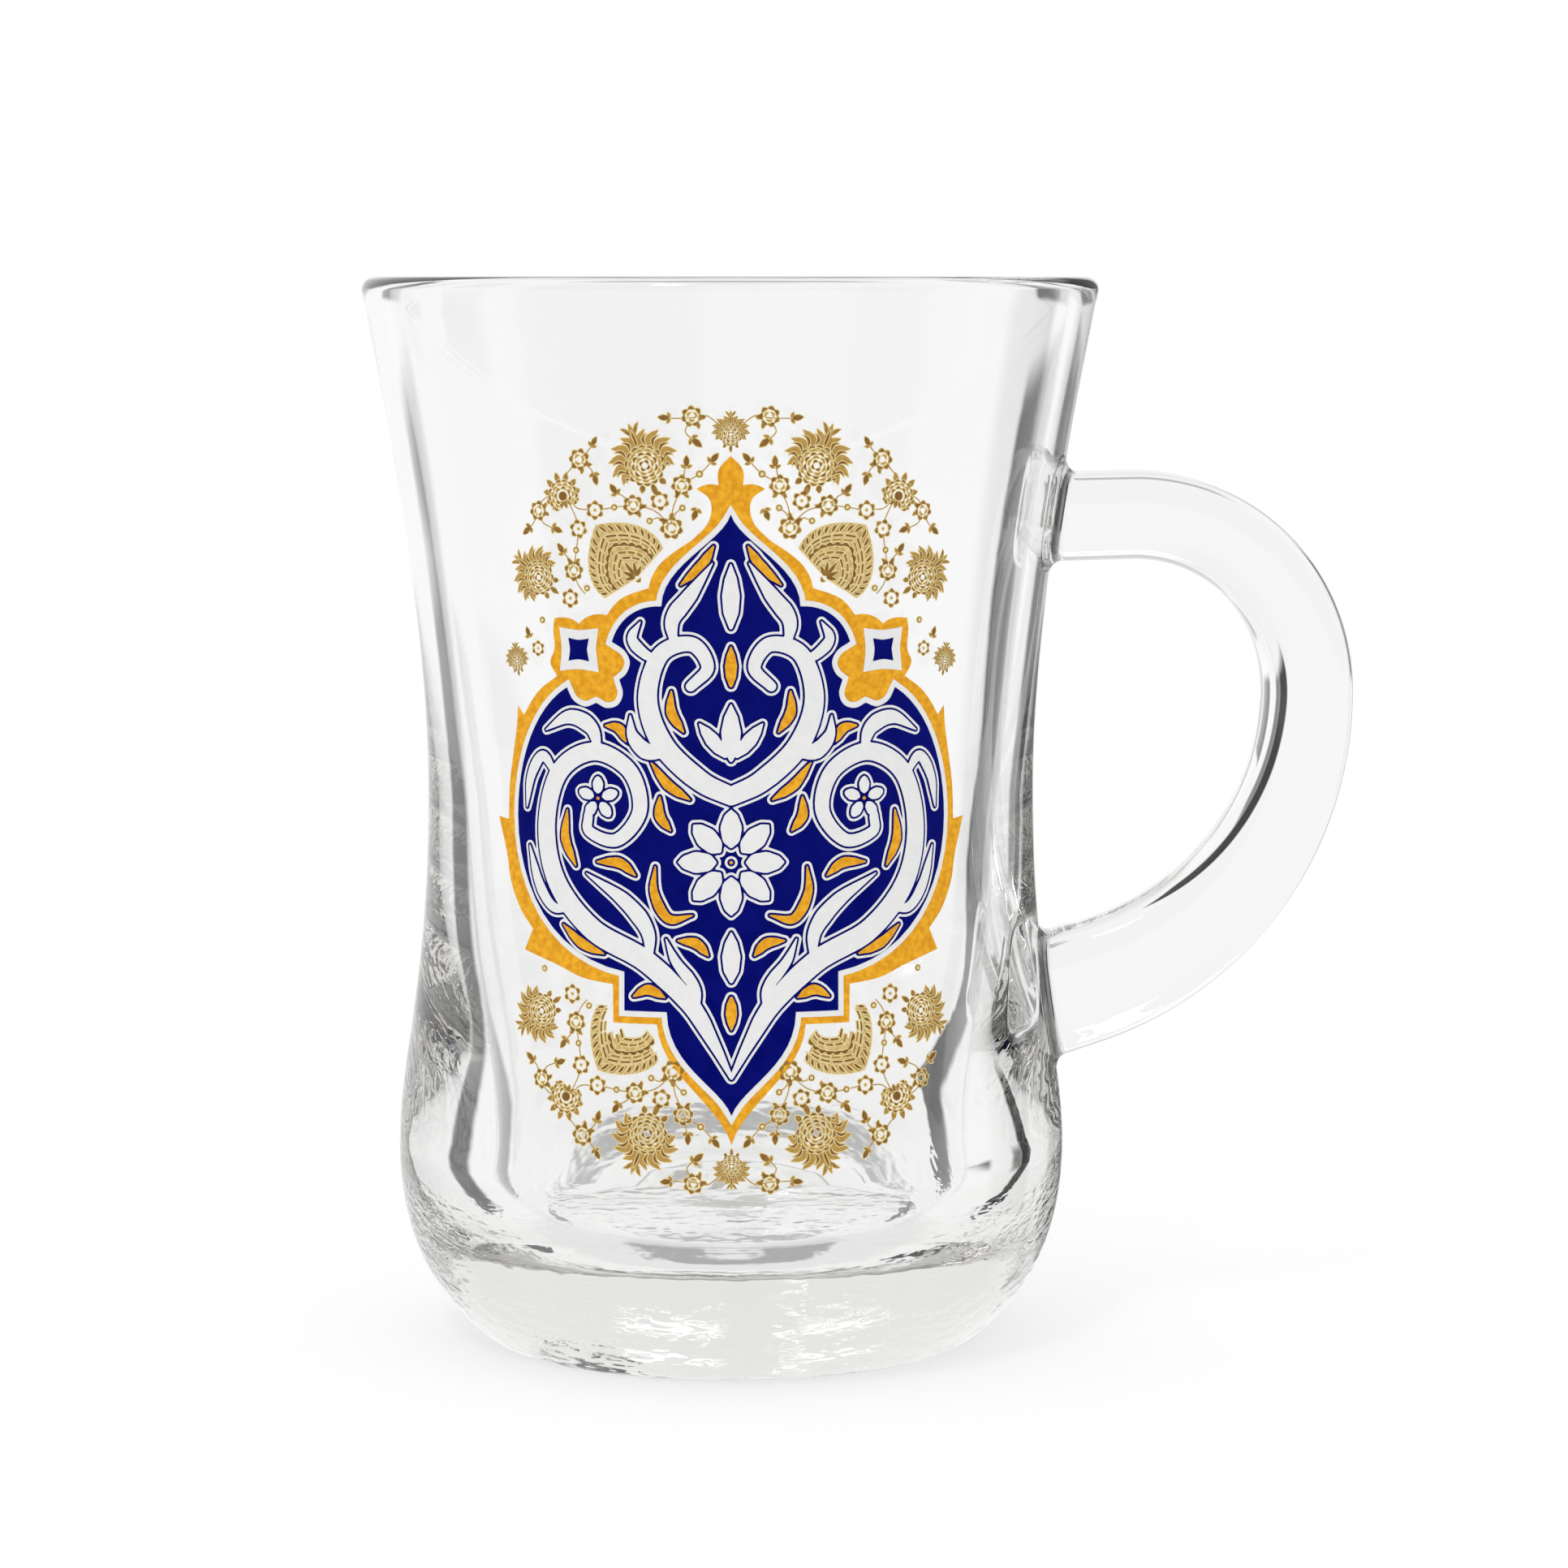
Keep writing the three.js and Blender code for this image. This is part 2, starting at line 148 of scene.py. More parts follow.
field = ease(room, aside, 25, 45, BACKDROP, SIDES)
field = blend(room, ease(room, slope, 4, 12), field, OVERHEAD)
# Painted shade: below the level, the table seen through the glass is darkened to stand in for the glass's own
# shadow on it.
field = blend(room, ease(room, slope, -50, -40, 1.0, 0.0), field, SHADED_TABLE)
stripes = ease(room, calc(room, "SINE", times(room, slope, STRIP_RATE)), 0.35, 0.75)
left_strips = times(room, band(left, 7, 10, 17, 24), LEFT_STRIPS)
groups = calc(room, "ADD", band(right, 0, 3, 12, 17), left_strips)
field = blend(room, times(room, groups, band(slope, 12, 15, 30, 34), stripes), field, STRIP)
# Each flag's shade, and the soft ends of its breadth and height in degrees from the backdrop's middle.
FLAGS = (
    (0.98, leaning, (11.8, 12.8, 19, 22), (-36, -32, -3.5, -1.5)),
    (0.75, leaning, (19, 22, 26, 30), (-20, -16, -3.5, -1.5)),
    (0.85, left, (30, 34, 45, 50), (-37, -34, -9, -6)),
    (0.8, right, (96, 104, 164, 174), (-6, -2, 22, 28)),
    (0.5, left, (104, 110, 132, 140), (3, 7, 20, 25)),
    (0.85, right, (48, 53, 72, 80), (-18.5, -17, -2, 2)),
    (0.55, aside, (50, 56, 74, 82), (12, 16, 30, 35)),
    (0.5, aside, (-2, -1, 5, 10), (-37, -34, -29, -26)),
)
for depth, way, breadth, height in FLAGS:
    field = shaded(field, depth, band(way, *breadth), band(slope, *height))
field = shaded(field, 0.35, ease(room, slope, 29, 34))
field = shaded(field, 0.5, band(slope, -86, -80, -70, -65))
front = ease(room, forward, -0.6, 0.3, FRONT_DIM, 1.0)
mirrored = blend(room, ease(room, slope, -2, 2), 1.0, front)
for depth, breadth in ((0.75, (12, 14, 36, 42)), (0.9, (54, 58, 76, 84))):
    mirrored = shaded(mirrored, depth, band(right, *breadth), band(slope, -20, -16, 20, 26))
ray = put(room, "ShaderNodeLightPath")
glow = blend(room, ray["Is Glossy Ray"], ROOM, mirrored)
glow = blend(room, ray["Is Transmission Ray"], glow, field)
glow = blend(room, ray["Is Camera Ray"], glow, 1.0)
light = put(room, "ShaderNodeBackground", {"Color": WHITE, "Strength": glow})[0]
put(room, "ShaderNodeOutputWorld", {0: light})

floor_mesh = bpy.data.meshes.new("floor")
shape = bmesh.new()
bmesh.ops.create_circle(shape, cap_ends=True, segments=96, radius=FLOOR_RADIUS)
shape.to_mesh(floor_mesh)
shape.free()
floor = placed("floor", floor_mesh)
floor.visible_transmission = floor.visible_glossy = False
paper = bpy.data.materials.new("white_paper")
paper.use_nodes = True
sheet = paper.node_tree
sheet.nodes.clear()
place = put(sheet, "ShaderNodeTexCoord")["Object"]
reach = put(sheet, "ShaderNodeVectorMath", {0: place}, operation="LENGTH")["Value"]
matt = put(sheet, "ShaderNodeBsdfDiffuse", {"Color": PAPER})[0]
lift = put(sheet, "ShaderNodeEmission", {"Color": WHITE, "Strength": PAPER_GLOW})[0]
lit = put(sheet, "ShaderNodeAddShader", {0: matt, 1: lift})[0]
plain = put(sheet, "ShaderNodeEmission", {"Color": WHITE, "Strength": 1.0})[0]
far = ease(sheet, reach, *SHADOW_REACH)
surface = put(sheet, "ShaderNodeMixShader", {0: far, 1: lit, 2: plain})[0]
put(sheet, "ShaderNodeOutputMaterial", {0: surface})
floor_mesh.materials.append(paper)

lamp_data = bpy.data.lights.new("softbox", "AREA")
lamp_data.shape = "RECTANGLE"
lamp_data.size, lamp_data.size_y = LAMP_SIZE
lamp_data.energy = LAMP_POWER
lamp = placed("softbox", lamp_data)
lamp.location = LAMP_PLACE
lamp.rotation_euler = (LAMP_AIM - LAMP_PLACE).to_track_quat("-Z", "Y").to_euler()


# Glass body: pressed soda-lime glass, thick and rounded at the base, drawn in at the waist and flared
# to a fire-polished lip. One turned profile makes it, and the mould leaves faint ripples on its wall.
MM = 0.001
HEIGHT, RIM_RADIUS, WAIST_RADIUS, BULGE_RADIUS, FOOT_RADIUS = 92.9, 32, 26.55, 29.3, 21
WAIST_HEIGHT, BULGE_HEIGHT, FLOOR_HEIGHT, FLOOR_CORNER, CORNER_HEIGHT = 49, 17, 9.5, 6.5, 17
LIP_RADIUS = 1.1
LIP_HEIGHT = HEIGHT - LIP_RADIUS
HEEL = (22.9, 1.2)
UPPER_WALL, WAIST_WALL, LOWER_WALL, CORNER_WALL = 2.15, 2.75, 4.6, 7.7
LOWER_WALL_HEIGHT = 32.5
DIMPLE_RADIUS, DIMPLE_DEPTH = 3.4, 0.45
CREASE, SEAM = 0.7, 2e-6
RIPPLE_HEIGHTS, RIPPLE_SHARES, INNER_RIPPLE = (1.0, 4, 10, 16, 44, 60), (0, 1, 1, 0.4, 0.2, 0), 0.4
RIPPLE_STRETCH, HAMMER_STRETCH, HAMMER_SIZE = (1, 1, 2.2), (1, 1, 2.4), 2.4
HAMMER_FADE, FOOT_EDGE, FOOT_EDGE_GAIN = (0.006, 0.011), (0.0003, 0.0012), 1.5
GLASS_DIM, GLASS_CLEAR = (0.99, 0.99, 0.99, 1), (0.997, 0.997, 1.0, 1)
GLASS_DEPTH, GLASS_DENSITY, GLASS_IOR = (0.16, 0.13, 0.03, 1), 4.0, 1.5


def bezier(a, b, c, d, steps):
    """Points of a cubic curve after its first one."""
    a, b, c, d = (np.array(p, float) for p in (a, b, c, d))
    t = np.linspace(0, 1, steps + 1)[1:, None]
    return list((1 - t) ** 3 * a + 3 * t * (1 - t) ** 2 * b + 3 * t * t * (1 - t) * c + t ** 3 * d)


def arc(middle, reach, start, end, steps):
    """Points of an elliptic arc after its first one."""
    turn = np.radians(np.linspace(start, end, steps + 1)[1:])
    return list(np.array(middle, float) + np.stack([np.cos(turn), np.sin(turn)], 1) * reach)


def through(points, steps):
    """Points of a smooth curve through given ones, after the first."""
    p = np.array(points, float)
    p = np.vstack([2 * p[0] - p[1], p, 2 * p[-1] - p[-2]])
    run = []
    for i in range(1, len(p) - 2):
        t = np.linspace(0, 1, steps + 1)[1:, None]
        a, b, c, d = p[i - 1:i + 3]
        bend, twist = 2 * a - 5 * b + 4 * c - d, 3 * b - a - 3 * c + d
        run += list(0.5 * (2 * b + (c - a) * t + bend * t ** 2 + twist * t ** 3))
    return run


heel = bezier((FOOT_RADIUS, 0), (21.38, 0), (22.01, 0.4), HEEL, 10)
heel += bezier(HEEL, (27, 4.9), (BULGE_RADIUS, 9.8), (BULGE_RADIUS, BULGE_HEIGHT), 44)
belly = bezier((BULGE_RADIUS, BULGE_HEIGHT), (BULGE_RADIUS, 25), (WAIST_RADIUS, 31),
               (WAIST_RADIUS, WAIST_HEIGHT), 60)
flare = bezier((WAIST_RADIUS, WAIST_HEIGHT), (WAIST_RADIUS, 61), (28.8, LIP_HEIGHT - 16),
               (RIM_RADIUS, LIP_HEIGHT), 30)
foot = [np.array((FOOT_RADIUS * share, 0)) for share in (0, 0.25, 0.5, 0.75, 0.9, 1)]
outside = foot + heel + belly + flare
outside_line = np.array(outside[len(foot) - 1:])


def wall_radius(z):
    return np.interp(z, outside_line[:, 1], outside_line[:, 0])


lip = arc((RIM_RADIUS - LIP_RADIUS, LIP_HEIGHT), LIP_RADIUS, 0, 180, 14)
inside_points = [(RIM_RADIUS - 2 * LIP_RADIUS, LIP_HEIGHT)]
for z, wall in (((WAIST_HEIGHT + LIP_HEIGHT) / 2, UPPER_WALL), (WAIST_HEIGHT, WAIST_WALL),
                (LOWER_WALL_HEIGHT, LOWER_WALL), (CORNER_HEIGHT, CORNER_WALL)):
    inside_points.append((wall_radius(z) - wall, z))
inside = through(inside_points, 14)
floor_corner = arc((inside[-1][0] - FLOOR_CORNER, CORNER_HEIGHT), (FLOOR_CORNER, CORNER_HEIGHT - FLOOR_HEIGHT),
                   0, -90, 14)
floor_line = [np.array((floor_corner[-1][0] * share, FLOOR_HEIGHT)) for share in (0.9, 0.75, 0.5)]
floor_line += [np.array((DIMPLE_RADIUS * share, FLOOR_HEIGHT - DIMPLE_DEPTH * (1 - share * share)))
               for share in (1, 0.9, 0.7, 0.5, 0.25, 0)]
profile = outside + lip + inside + floor_corner + floor_line


def spine_mesh(name, points, **values):
    """A row of loose points, each with its own values, for a tree to read by index."""
    mesh = bpy.data.meshes.new(name)
    mesh.from_pydata([Vector(p) * MM for p in points], [], [])
    for key, numbers in values.items():
        mesh.attributes.new(key, "FLOAT", "POINT").data.foreach_set("value", numbers)
    return mesh


def grown(name, mesh, tree, material, **inputs):
    """The plain mesh object that a tree makes from a mesh, with the tree's inputs set by name."""
    source = placed(name + "_source", mesh)
    modifier = source.modifiers.new("grow", "NODES")
    modifier.node_group = tree
    sockets = {s.name: s.identifier for s in tree.interface.items_tree if s.in_out == "INPUT"}
    for key, value in {**inputs, "Material": material}.items():
        modifier[sockets[key]] = value
    bpy.context.view_layer.update()
    done = bpy.data.meshes.new_from_object(source.evaluated_get(bpy.context.evaluated_depsgraph_get()))
    bpy.data.objects.remove(source)
    done.name = name
    return placed(name, done)


def new_tree(name, **inputs):
    """A tree with a mesh input, named inputs for its sizes, and a material."""
    tree = bpy.data.node_groups.new(name, "GeometryNodeTree")
    for key, kind in {"Geometry": "Geometry", **inputs, "Material": "Material"}.items():
        tree.interface.new_socket(key, in_out="INPUT", socket_type="NodeSocket" + kind)
    tree.interface.new_socket("Geometry", in_out="OUTPUT", socket_type="NodeSocketGeometry")
    return tree, put(tree, "NodeGroupInput")


def close_tree(tree, geometry, material):
    """Ends a tree: instances made real, smooth shading and the material set."""
    real = put(tree, "GeometryNodeRealizeInstances", {0: geometry})[0]
    smooth = put(tree, "GeometryNodeSetShadeSmooth", {0: real})[0]
    bend = put(tree, "GeometryNodeInputMeshEdgeAngle")[0]
    crease = put(tree, "FunctionNodeCompare", {0: bend, 1: CREASE}, operation="GREATER_THAN")[0]
    sharp = put(tree, "GeometryNodeSetShadeSmooth", {0: smooth, 1: crease, 2: False}, domain="EDGE")[0]
    coated = put(tree, "GeometryNodeSetMaterial", {0: sharp, "Material": material})[0]
    put(tree, "NodeGroupOutput", {0: coated})


def named(tree, key):
    """A value that each point carries by name."""
    return put(tree, "GeometryNodeInputNamedAttribute", {"Name": key}, data_type="FLOAT")[0]


def row_reader(tree, source, row, value, data_type="FLOAT"):
    terms = {"Geometry": source, "Value": value, "Index": row}
    return put(tree, "GeometryNodeSampleIndex", terms, data_type=data_type)[0]


def lattice(tree, source, columns):
    """A sheet with a row of points for each source point, each point's row, and its share of a full turn."""
    rows = put(tree, "GeometryNodeAttributeDomainSize", {0: source})[0]
    across = calc(tree, "ADD", columns, 1)
    grid = put(tree, "GeometryNodeMeshGrid", {"Vertices X": rows, "Vertices Y": across})[0]
    index = put(tree, "GeometryNodeInputIndex")[0]
    row = calc(tree, "FLOOR", calc(tree, "DIVIDE", index, across))
    column = calc(tree, "MODULO", calc(tree, "MODULO", index, across), columns)
    turn = times(tree, calc(tree, "DIVIDE", column, columns), 2 * pi)
    return grid, row, turn


def moved(tree, geometry, **inputs):
    return put(tree, "GeometryNodeSetPosition", {"Geometry": geometry, **inputs})[0]


def joined(tree, geometry):
    """Closes the seam and the poles of a sheet rolled into a tube."""
    return put(tree, "GeometryNodeMergeByDistance", {"Geometry": geometry, "Distance": SEAM})[0]


def vector_calc(tree, operation, *terms):
    return put(tree, "ShaderNodeVectorMath", enumerate(terms), operation=operation)[0]


def scaled(tree, vector, amount):
    return put(tree, "ShaderNodeVectorMath", {0: vector, "Scale": amount}, operation="SCALE")[0]


body_inputs = {"Turn Steps": "Int", "Ripple Depth": "Float", "Ripple Size": "Float"}
turning, body_in = new_tree("turned_glass", **body_inputs)
source = body_in["Geometry"]
grid, row, turn = lattice(turning, source, body_in["Turn Steps"])
position = put(turning, "GeometryNodeInputPosition")[0]
profile_point = row_reader(turning, source, row, position, "FLOAT_VECTOR")
radius, _, level = put(turning, "ShaderNodeSeparateXYZ", {0: profile_point})
ripple_share = row_reader(turning, source, row, named(turning, "ripple"))
across = times(turning, radius, calc(turning, "COSINE", turn))
along = times(turning, radius, calc(turning, "SINE", turn))
spot = put(turning, "ShaderNodeCombineXYZ", {0: across, 1: along, 2: level})[0]
terms = {"Geometry": grid, "Name": "ripple", "Value": ripple_share}
kept = put(turning, "GeometryNodeStoreNamedAttribute", terms, data_type="FLOAT", domain="POINT")[0]
rolled = joined(turning, moved(turning, kept, Position=spot))
stretched = vector_calc(turning, "MULTIPLY", position, RIPPLE_STRETCH)
grain = vector_calc(turning, "DIVIDE", stretched, body_in["Ripple Size"])
wave = put(turning, "ShaderNodeTexNoise", {"Vector": grain, "Scale": 1.0, "Detail": 1.5})[0]
wave = calc(turning, "SUBTRACT", wave, 0.5)
height = times(turning, wave, body_in["Ripple Depth"], named(turning, "ripple"))
normal = put(turning, "GeometryNodeInputNormal")[0]
close_tree(turning, moved(turning, rolled, Offset=scaled(turning, normal, height)), body_in["Material"])


def new_material(name):
    """A material, its tree, its shader and the place on the piece that its patterns follow."""
    material = bpy.data.materials.new(name)
    material.use_nodes = True
    tree = material.node_tree
    return material, tree, tree.nodes["Principled BSDF"], put(tree, "ShaderNodeTexCoord")["Object"]


def cloud(tree, place, size, detail):
    """A cloudy value between nought and one, whose clumps have a size in millimetres."""
    terms = {"Vector": place, "Scale": 1 / (size * MM), "Detail": detail}
    return put(tree, "ShaderNodeTexNoise", terms)[0]


def bump(tree, height, depth, strength=1.0, **under):
    """The normals of a surface that a height raises, by a depth in millimetres."""
    terms = {"Strength": strength, "Distance": depth * MM, "Height": height, **under}
    return put(tree, "ShaderNodeBump", terms)[0]


def tinted(tree, share, first, second):
    """A colour between two others, by the share of the second."""
    return put(tree, "ShaderNodeMix", {0: share, 6: first, 7: second}, data_type="RGBA")[2]


def clear_glass(name, wave_size, wave_depth, hammer_depth=0.0):
    """Fire-polished clear glass: finely waved, hammered at the foot, and faintly dimmed by its depth."""
    material, tree, shader, place = new_material(name)
    wave = cloud(tree, place, wave_size, 2.0)
    normal = bump(tree, wave, wave_depth)
    if hammer_depth:
        level = put(tree, "ShaderNodeSeparateXYZ", {0: place})[2]
        hammer = cloud(tree, vector_calc(tree, "MULTIPLY", place, HAMMER_STRETCH), HAMMER_SIZE, 1.0)
        fade = ease(tree, level, *HAMMER_FADE, 1.0, 0.0)
        edge = ease(tree, level, *FOOT_EDGE, FOOT_EDGE_GAIN, 1.0)
        normal = bump(tree, times(tree, hammer, fade, edge), hammer_depth, Normal=normal)
    feed(tree, shader, {"Base Color": tinted(tree, wave, GLASS_DIM, GLASS_CLEAR), "Normal": normal,
                        "Roughness": 0.0, "IOR": GLASS_IOR, "Transmission Weight": 1.0})
    depth = put(tree, "ShaderNodeVolumeAbsorption", {"Color": GLASS_DEPTH, "Density": GLASS_DENSITY})
    feed(tree, tree.nodes["Material Output"], {"Volume": depth[0]})
    return material


ripple = []
for i, (r, z) in enumerate(profile):
    fade = np.interp(z, RIPPLE_HEIGHTS, RIPPLE_SHARES)
    ripple.append(fade if i < len(outside) else fade * INNER_RIPPLE * (z > FLOOR_HEIGHT + 0.1))
body_line = spine_mesh("profile", [(r, 0, z) for r, z in profile[::-1]], ripple=ripple[::-1])
body = grown("glass_body_visual", body_line, turning, clear_glass("clear_glass", 4.0, 0.002, 0.16),
             **{"Turn Steps": 352, "Ripple Depth": 0.03 * MM, "Ripple Size": 2.6 * MM})
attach(body, "root")
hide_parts("glass_body")


# Handle: a solid C of the same glass with a rounded, squarish section, drawn on hot. It is fused to the
# wall at two roots, each flared by the small fillet that the soft glass leaves.
REACH, TURN_HEIGHT, UPPER_BOW, LOWER_BOW, LOWER_SWEEP = 54.4, 56.9, 15.4, 27, 75
HALF_THICK, HALF_DEEP, UPPER_ROOT_HALF, LOWER_ROOT_HALF, SQUARENESS = 3.85, 4.5, 3.9, 5.3, 4.4
FILLET, ROOT_SINK, THICKENING = 1.1, 0.06, 1.4
PROBE = 0.1


def bow_row(bow, angle, half):
    """A section of the free handle on one of its two bows."""
    x = REACH - HALF_THICK - bow + bow * cos(radians(angle))
    return x, TURN_HEIGHT + bow * sin(radians(angle)), angle, half, HALF_DEEP, 0, 1


rows = [bow_row(UPPER_BOW, angle, HALF_THICK) for angle in np.linspace(90, 0, 41)]
for share in np.linspace(0, 1, 57)[1:]:
    half = HALF_THICK + (LOWER_ROOT_HALF - HALF_THICK) * share ** THICKENING
    rows.append(bow_row(LOWER_BOW, -LOWER_SWEEP * share, half))


def root_rows(z, half, angle):
    """Sections of a root that lie along the wall, from its closed end in it out to the end of the fillet."""
    stands = [-ROOT_SINK, -ROOT_SINK] + [FILLET * share for share in (0.02, 0.1, 0.25, 0.45, 0.7, 1)]
    made = []
    for i, stand in enumerate(stands):
        gap = max(0.0, stand) / FILLET
        flare = FILLET * (1 - sqrt(1 - (1 - gap) ** 2))
        size = 0 if i == 0 else 1
        made.append((0, z, angle, (half + flare) * size, (HALF_DEEP + flare) * size, stand, 0))
    return made


low_x, low_z = rows[-1][:2]
lower_root_z = low_z - (low_x - wall_radius(low_z)) / np.tan(radians(LOWER_SWEEP))
upper_root = root_rows(TURN_HEIGHT + UPPER_BOW, UPPER_ROOT_HALF, 90)
lower_root = root_rows(lower_root_z, LOWER_ROOT_HALF, -90)[::-1]
x, z, angle, half, deep, stand, free = (np.array(column, float) for column in zip(*upper_root, *rows, *lower_root))

drawing, handle_in = new_tree("drawn_handle", **{"Section Steps": "Int", "Wall": "Object", "Squareness": "Float"})
source = handle_in["Geometry"]
grid, row, turn = lattice(drawing, source, handle_in["Section Steps"])
position = put(drawing, "GeometryNodeInputPosition")[0]
middle = row_reader(drawing, source, row, position, "FLOAT_VECTOR")
lean, thick, depth, gap, loose = (row_reader(drawing, source, row, named(drawing, key))
                                  for key in ("lean", "half", "deep", "stand", "free"))


def squared(tree, wave):
    """A round wave pressed towards a square one, for a superellipse."""
    power = calc(tree, "DIVIDE", 2.0, handle_in["Squareness"])
    reach = calc(tree, "POWER", calc(tree, "ABSOLUTE", wave), power)
    return times(tree, reach, calc(tree, "SIGN", wave))


out = times(drawing, squared(drawing, calc(drawing, "COSINE", turn)), thick)
side = times(drawing, squared(drawing, calc(drawing, "SINE", turn)), depth)
ahead = times(drawing, out, calc(drawing, "COSINE", lean))
rise = times(drawing, out, calc(drawing, "SINE", lean))
step = put(drawing, "ShaderNodeCombineXYZ", {0: ahead, 1: side, 2: rise})[0]
spot = vector_calc(drawing, "ADD", middle, step)
wall = put(drawing, "GeometryNodeObjectInfo", {0: handle_in["Wall"]})["Geometry"]
start = vector_calc(drawing, "ADD", spot, (PROBE, 0, 0))
terms = {"Target Geometry": wall, "Source Position": start, "Ray Direction": (-1, 0, 0), "Ray Length": 2 * PROBE}
hit = put(drawing, "GeometryNodeRaycast", terms)
rooted = vector_calc(drawing, "ADD", hit["Hit Position"], scaled(drawing, hit["Hit Normal"], gap))
final = put(drawing, "ShaderNodeMix", {0: loose, 4: rooted, 5: spot}, data_type="VECTOR")[1]
close_tree(drawing, joined(drawing, moved(drawing, grid, Position=final)), handle_in["Material"])

spine = spine_mesh("spine", np.stack([x, 0 * x, z], 1), lean=np.radians(angle), half=half * MM, deep=deep * MM,
                   stand=stand * MM, free=free)
handle = grown("handle_visual", spine, drawing, clear_glass("handle_glass", 5.0, 0.002),
               **{"Section Steps": 96, "Squareness": SQUARENESS, "Wall": body})
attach(handle, "root")
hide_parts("handle")


# Medallion: the fired print on the front, an arched cobalt panel in an ivory keyline and an amber border.
# Each colour is a film of glass enamel, screened on and fused to the wall, one lapping over the next.
PRINT_HEIGHT = 50
FILM, FILM_STEP, FILM_GAP, FILM_GRAIN, STAGGER = 0.02, 0.03, 0.02, 1.0, 0.37
BORDER_LAP, KEYLINE_OUT, KEYLINE_IN = 0.35, 0.48, -0.1
STAR_MIDDLE = np.array((13.05, 12.25))
STAR_HOLE, STAR_GROUND, STAR = (2.45, 1.55), (2.6, 1.65), (1.35, 0.8)
SHARPEST_CORNER = 0.6
PEEL_DEPTH, PEEL_STRENGTH, GLOSS_SPREAD = 0.01, 0.4, 0.15


def traced(start, *runs):
    """A closed outline from its right half: straight, bowed, curved and waved runs downwards, mirrored."""
    line = [np.array(start, float)]
    for kind, *points in runs:
        points = [np.array(p, float) for p in points]
        here = line[-1]
        if kind == "curve":
            line += bezier(here, *points, 12)
        elif kind == "bow":
            line += bezier(here, (here + 2 * points[0]) / 3, (points[1] + 2 * points[0]) / 3, points[1], 7)
        elif kind == "wave":
            line += through([here] + points, 5)
        else:
            line += points
    half = np.array(line)
    return np.vstack([half, half[-2:0:-1] * (-1, 1)])


def widened(points, width):
    """A clockwise outline moved outwards."""
    before = points - np.roll(points, 1, 0)
    after = np.roll(points, -1, 0) - points
    before /= np.linalg.norm(before, axis=1)[:, None]
    after /= np.linalg.norm(after, axis=1)[:, None]
    along = before + after
    along /= np.linalg.norm(along, axis=1)[:, None]
    reach = width / np.maximum(SHARPEST_CORNER, (along * after).sum(1))
    return points + np.stack([-along[:, 1], along[:, 0]], 1) * reach[:, None]


def evened(loop, longest):
    """A loop with its long edges split, so that it bends with the wall."""
    line = []
    for a, b in zip(loop, np.roll(loop, -1, 0)):
        count = max(1, ceil(np.linalg.norm(b - a) / longest))
        line += [a + (b - a) * i / count for i in range(count)]
    return np.array(line)


def within(points, loops):
    """Which points lie inside closed loops, a loop inside another being a hole."""
    x, y = np.array(points).T
    odd = np.zeros(len(x), bool)
    for loop in loops:
        for (x0, y0), (x1, y1) in zip(loop, np.roll(loop, -1, 0)):
            crossed = (y0 > y) != (y1 > y)
            odd ^= crossed & (x < x0 + (y - y0) * (x1 - x0) / (y1 - y0 or 1))
    return odd


class Films:
    """Closed films of one colour family, drawn flat in millimetres of arc, height and lift."""

    def __init__(self):
        self.points, self.faces, self.tones = [], [], []

    def add(self, flat, triangles, low, high, tone=1.0):
        first, count = len(self.points), len(flat)
        self.points += [(x, y, z) for z in (high, low) for x, y in flat]
        self.tones += [tone] * (2 * count)
        edges = set()
        for face in triangles:
            self.faces.append([first + i for i in face])
            self.faces.append([first + count + i for i in reversed(face)])
            edges.update(zip(face, face[1:] + face[:1]))
        for a, b in edges:
            if (b, a) not in edges:
                self.faces.append([first + b, first + a, first + count + a, first + count + b])

    def fill(self, loops, low, high):
        """A film inside closed loops, a loop in another being a hole, fine enough to bend with the wall."""
        loops = [evened(np.array(loop, float), FILM_GRAIN) for loop in loops]
        ends = np.cumsum([len(loop) for loop in loops])
        edges = []
        for loop, end in zip(loops, ends):
            start = end - len(loop)
            edges += [(i, i + 1 if i + 1 < end else start) for i in range(start, end)]
        points = np.vstack(loops)
        low_corner, high_corner = points.min(0), points.max(0)
        xs, ys = (np.arange(low_corner[k] + FILM_GRAIN / 2, high_corner[k], FILM_GRAIN) for k in (0, 1))
        shift = STAGGER * FILM_GRAIN
        inner = np.array([(x + shift * (i % 2), y) for i, y in enumerate(ys) for x in xs] or [(0, 0)])
        inner = inner[within(inner, loops)]
        made = delaunay_2d_cdt([Vector(p) for p in [*points, *inner]], edges, [], 0, 1e-5, False)
        flat, faces = np.array(made[0]), np.array(made[2])
        faces = faces[within(flat[faces].mean(1), loops)]
        a, b, c = (flat[faces[:, i]] for i in (0, 1, 2))
        turned = (b - a)[:, 0] * (c - a)[:, 1] < (b - a)[:, 1] * (c - a)[:, 0]
        faces[turned] = faces[turned][:, ::-1]
        used, faces = np.unique(faces, return_inverse=True)
        self.add(flat[used].tolist(), faces.reshape(-1, 3).tolist(), low, high)

    def cell(self, loop, low, high, tone):
        """One small patch, drawn counter-clockwise."""
        self.add([tuple(p) for p in loop], [list(range(len(loop)))], low, high, tone)

    def mesh(self, name):
        mesh = bpy.data.meshes.new(name)
        mesh.from_pydata([Vector(p) * MM for p in self.points], [], self.faces)
        mesh.attributes.new("tone", "FLOAT", "POINT").data.foreach_set("value", self.tones)
        return mesh


def layer(step):
    """The underside and the top of a film that laps over others."""
    return step * FILM_STEP, step * FILM_STEP + FILM


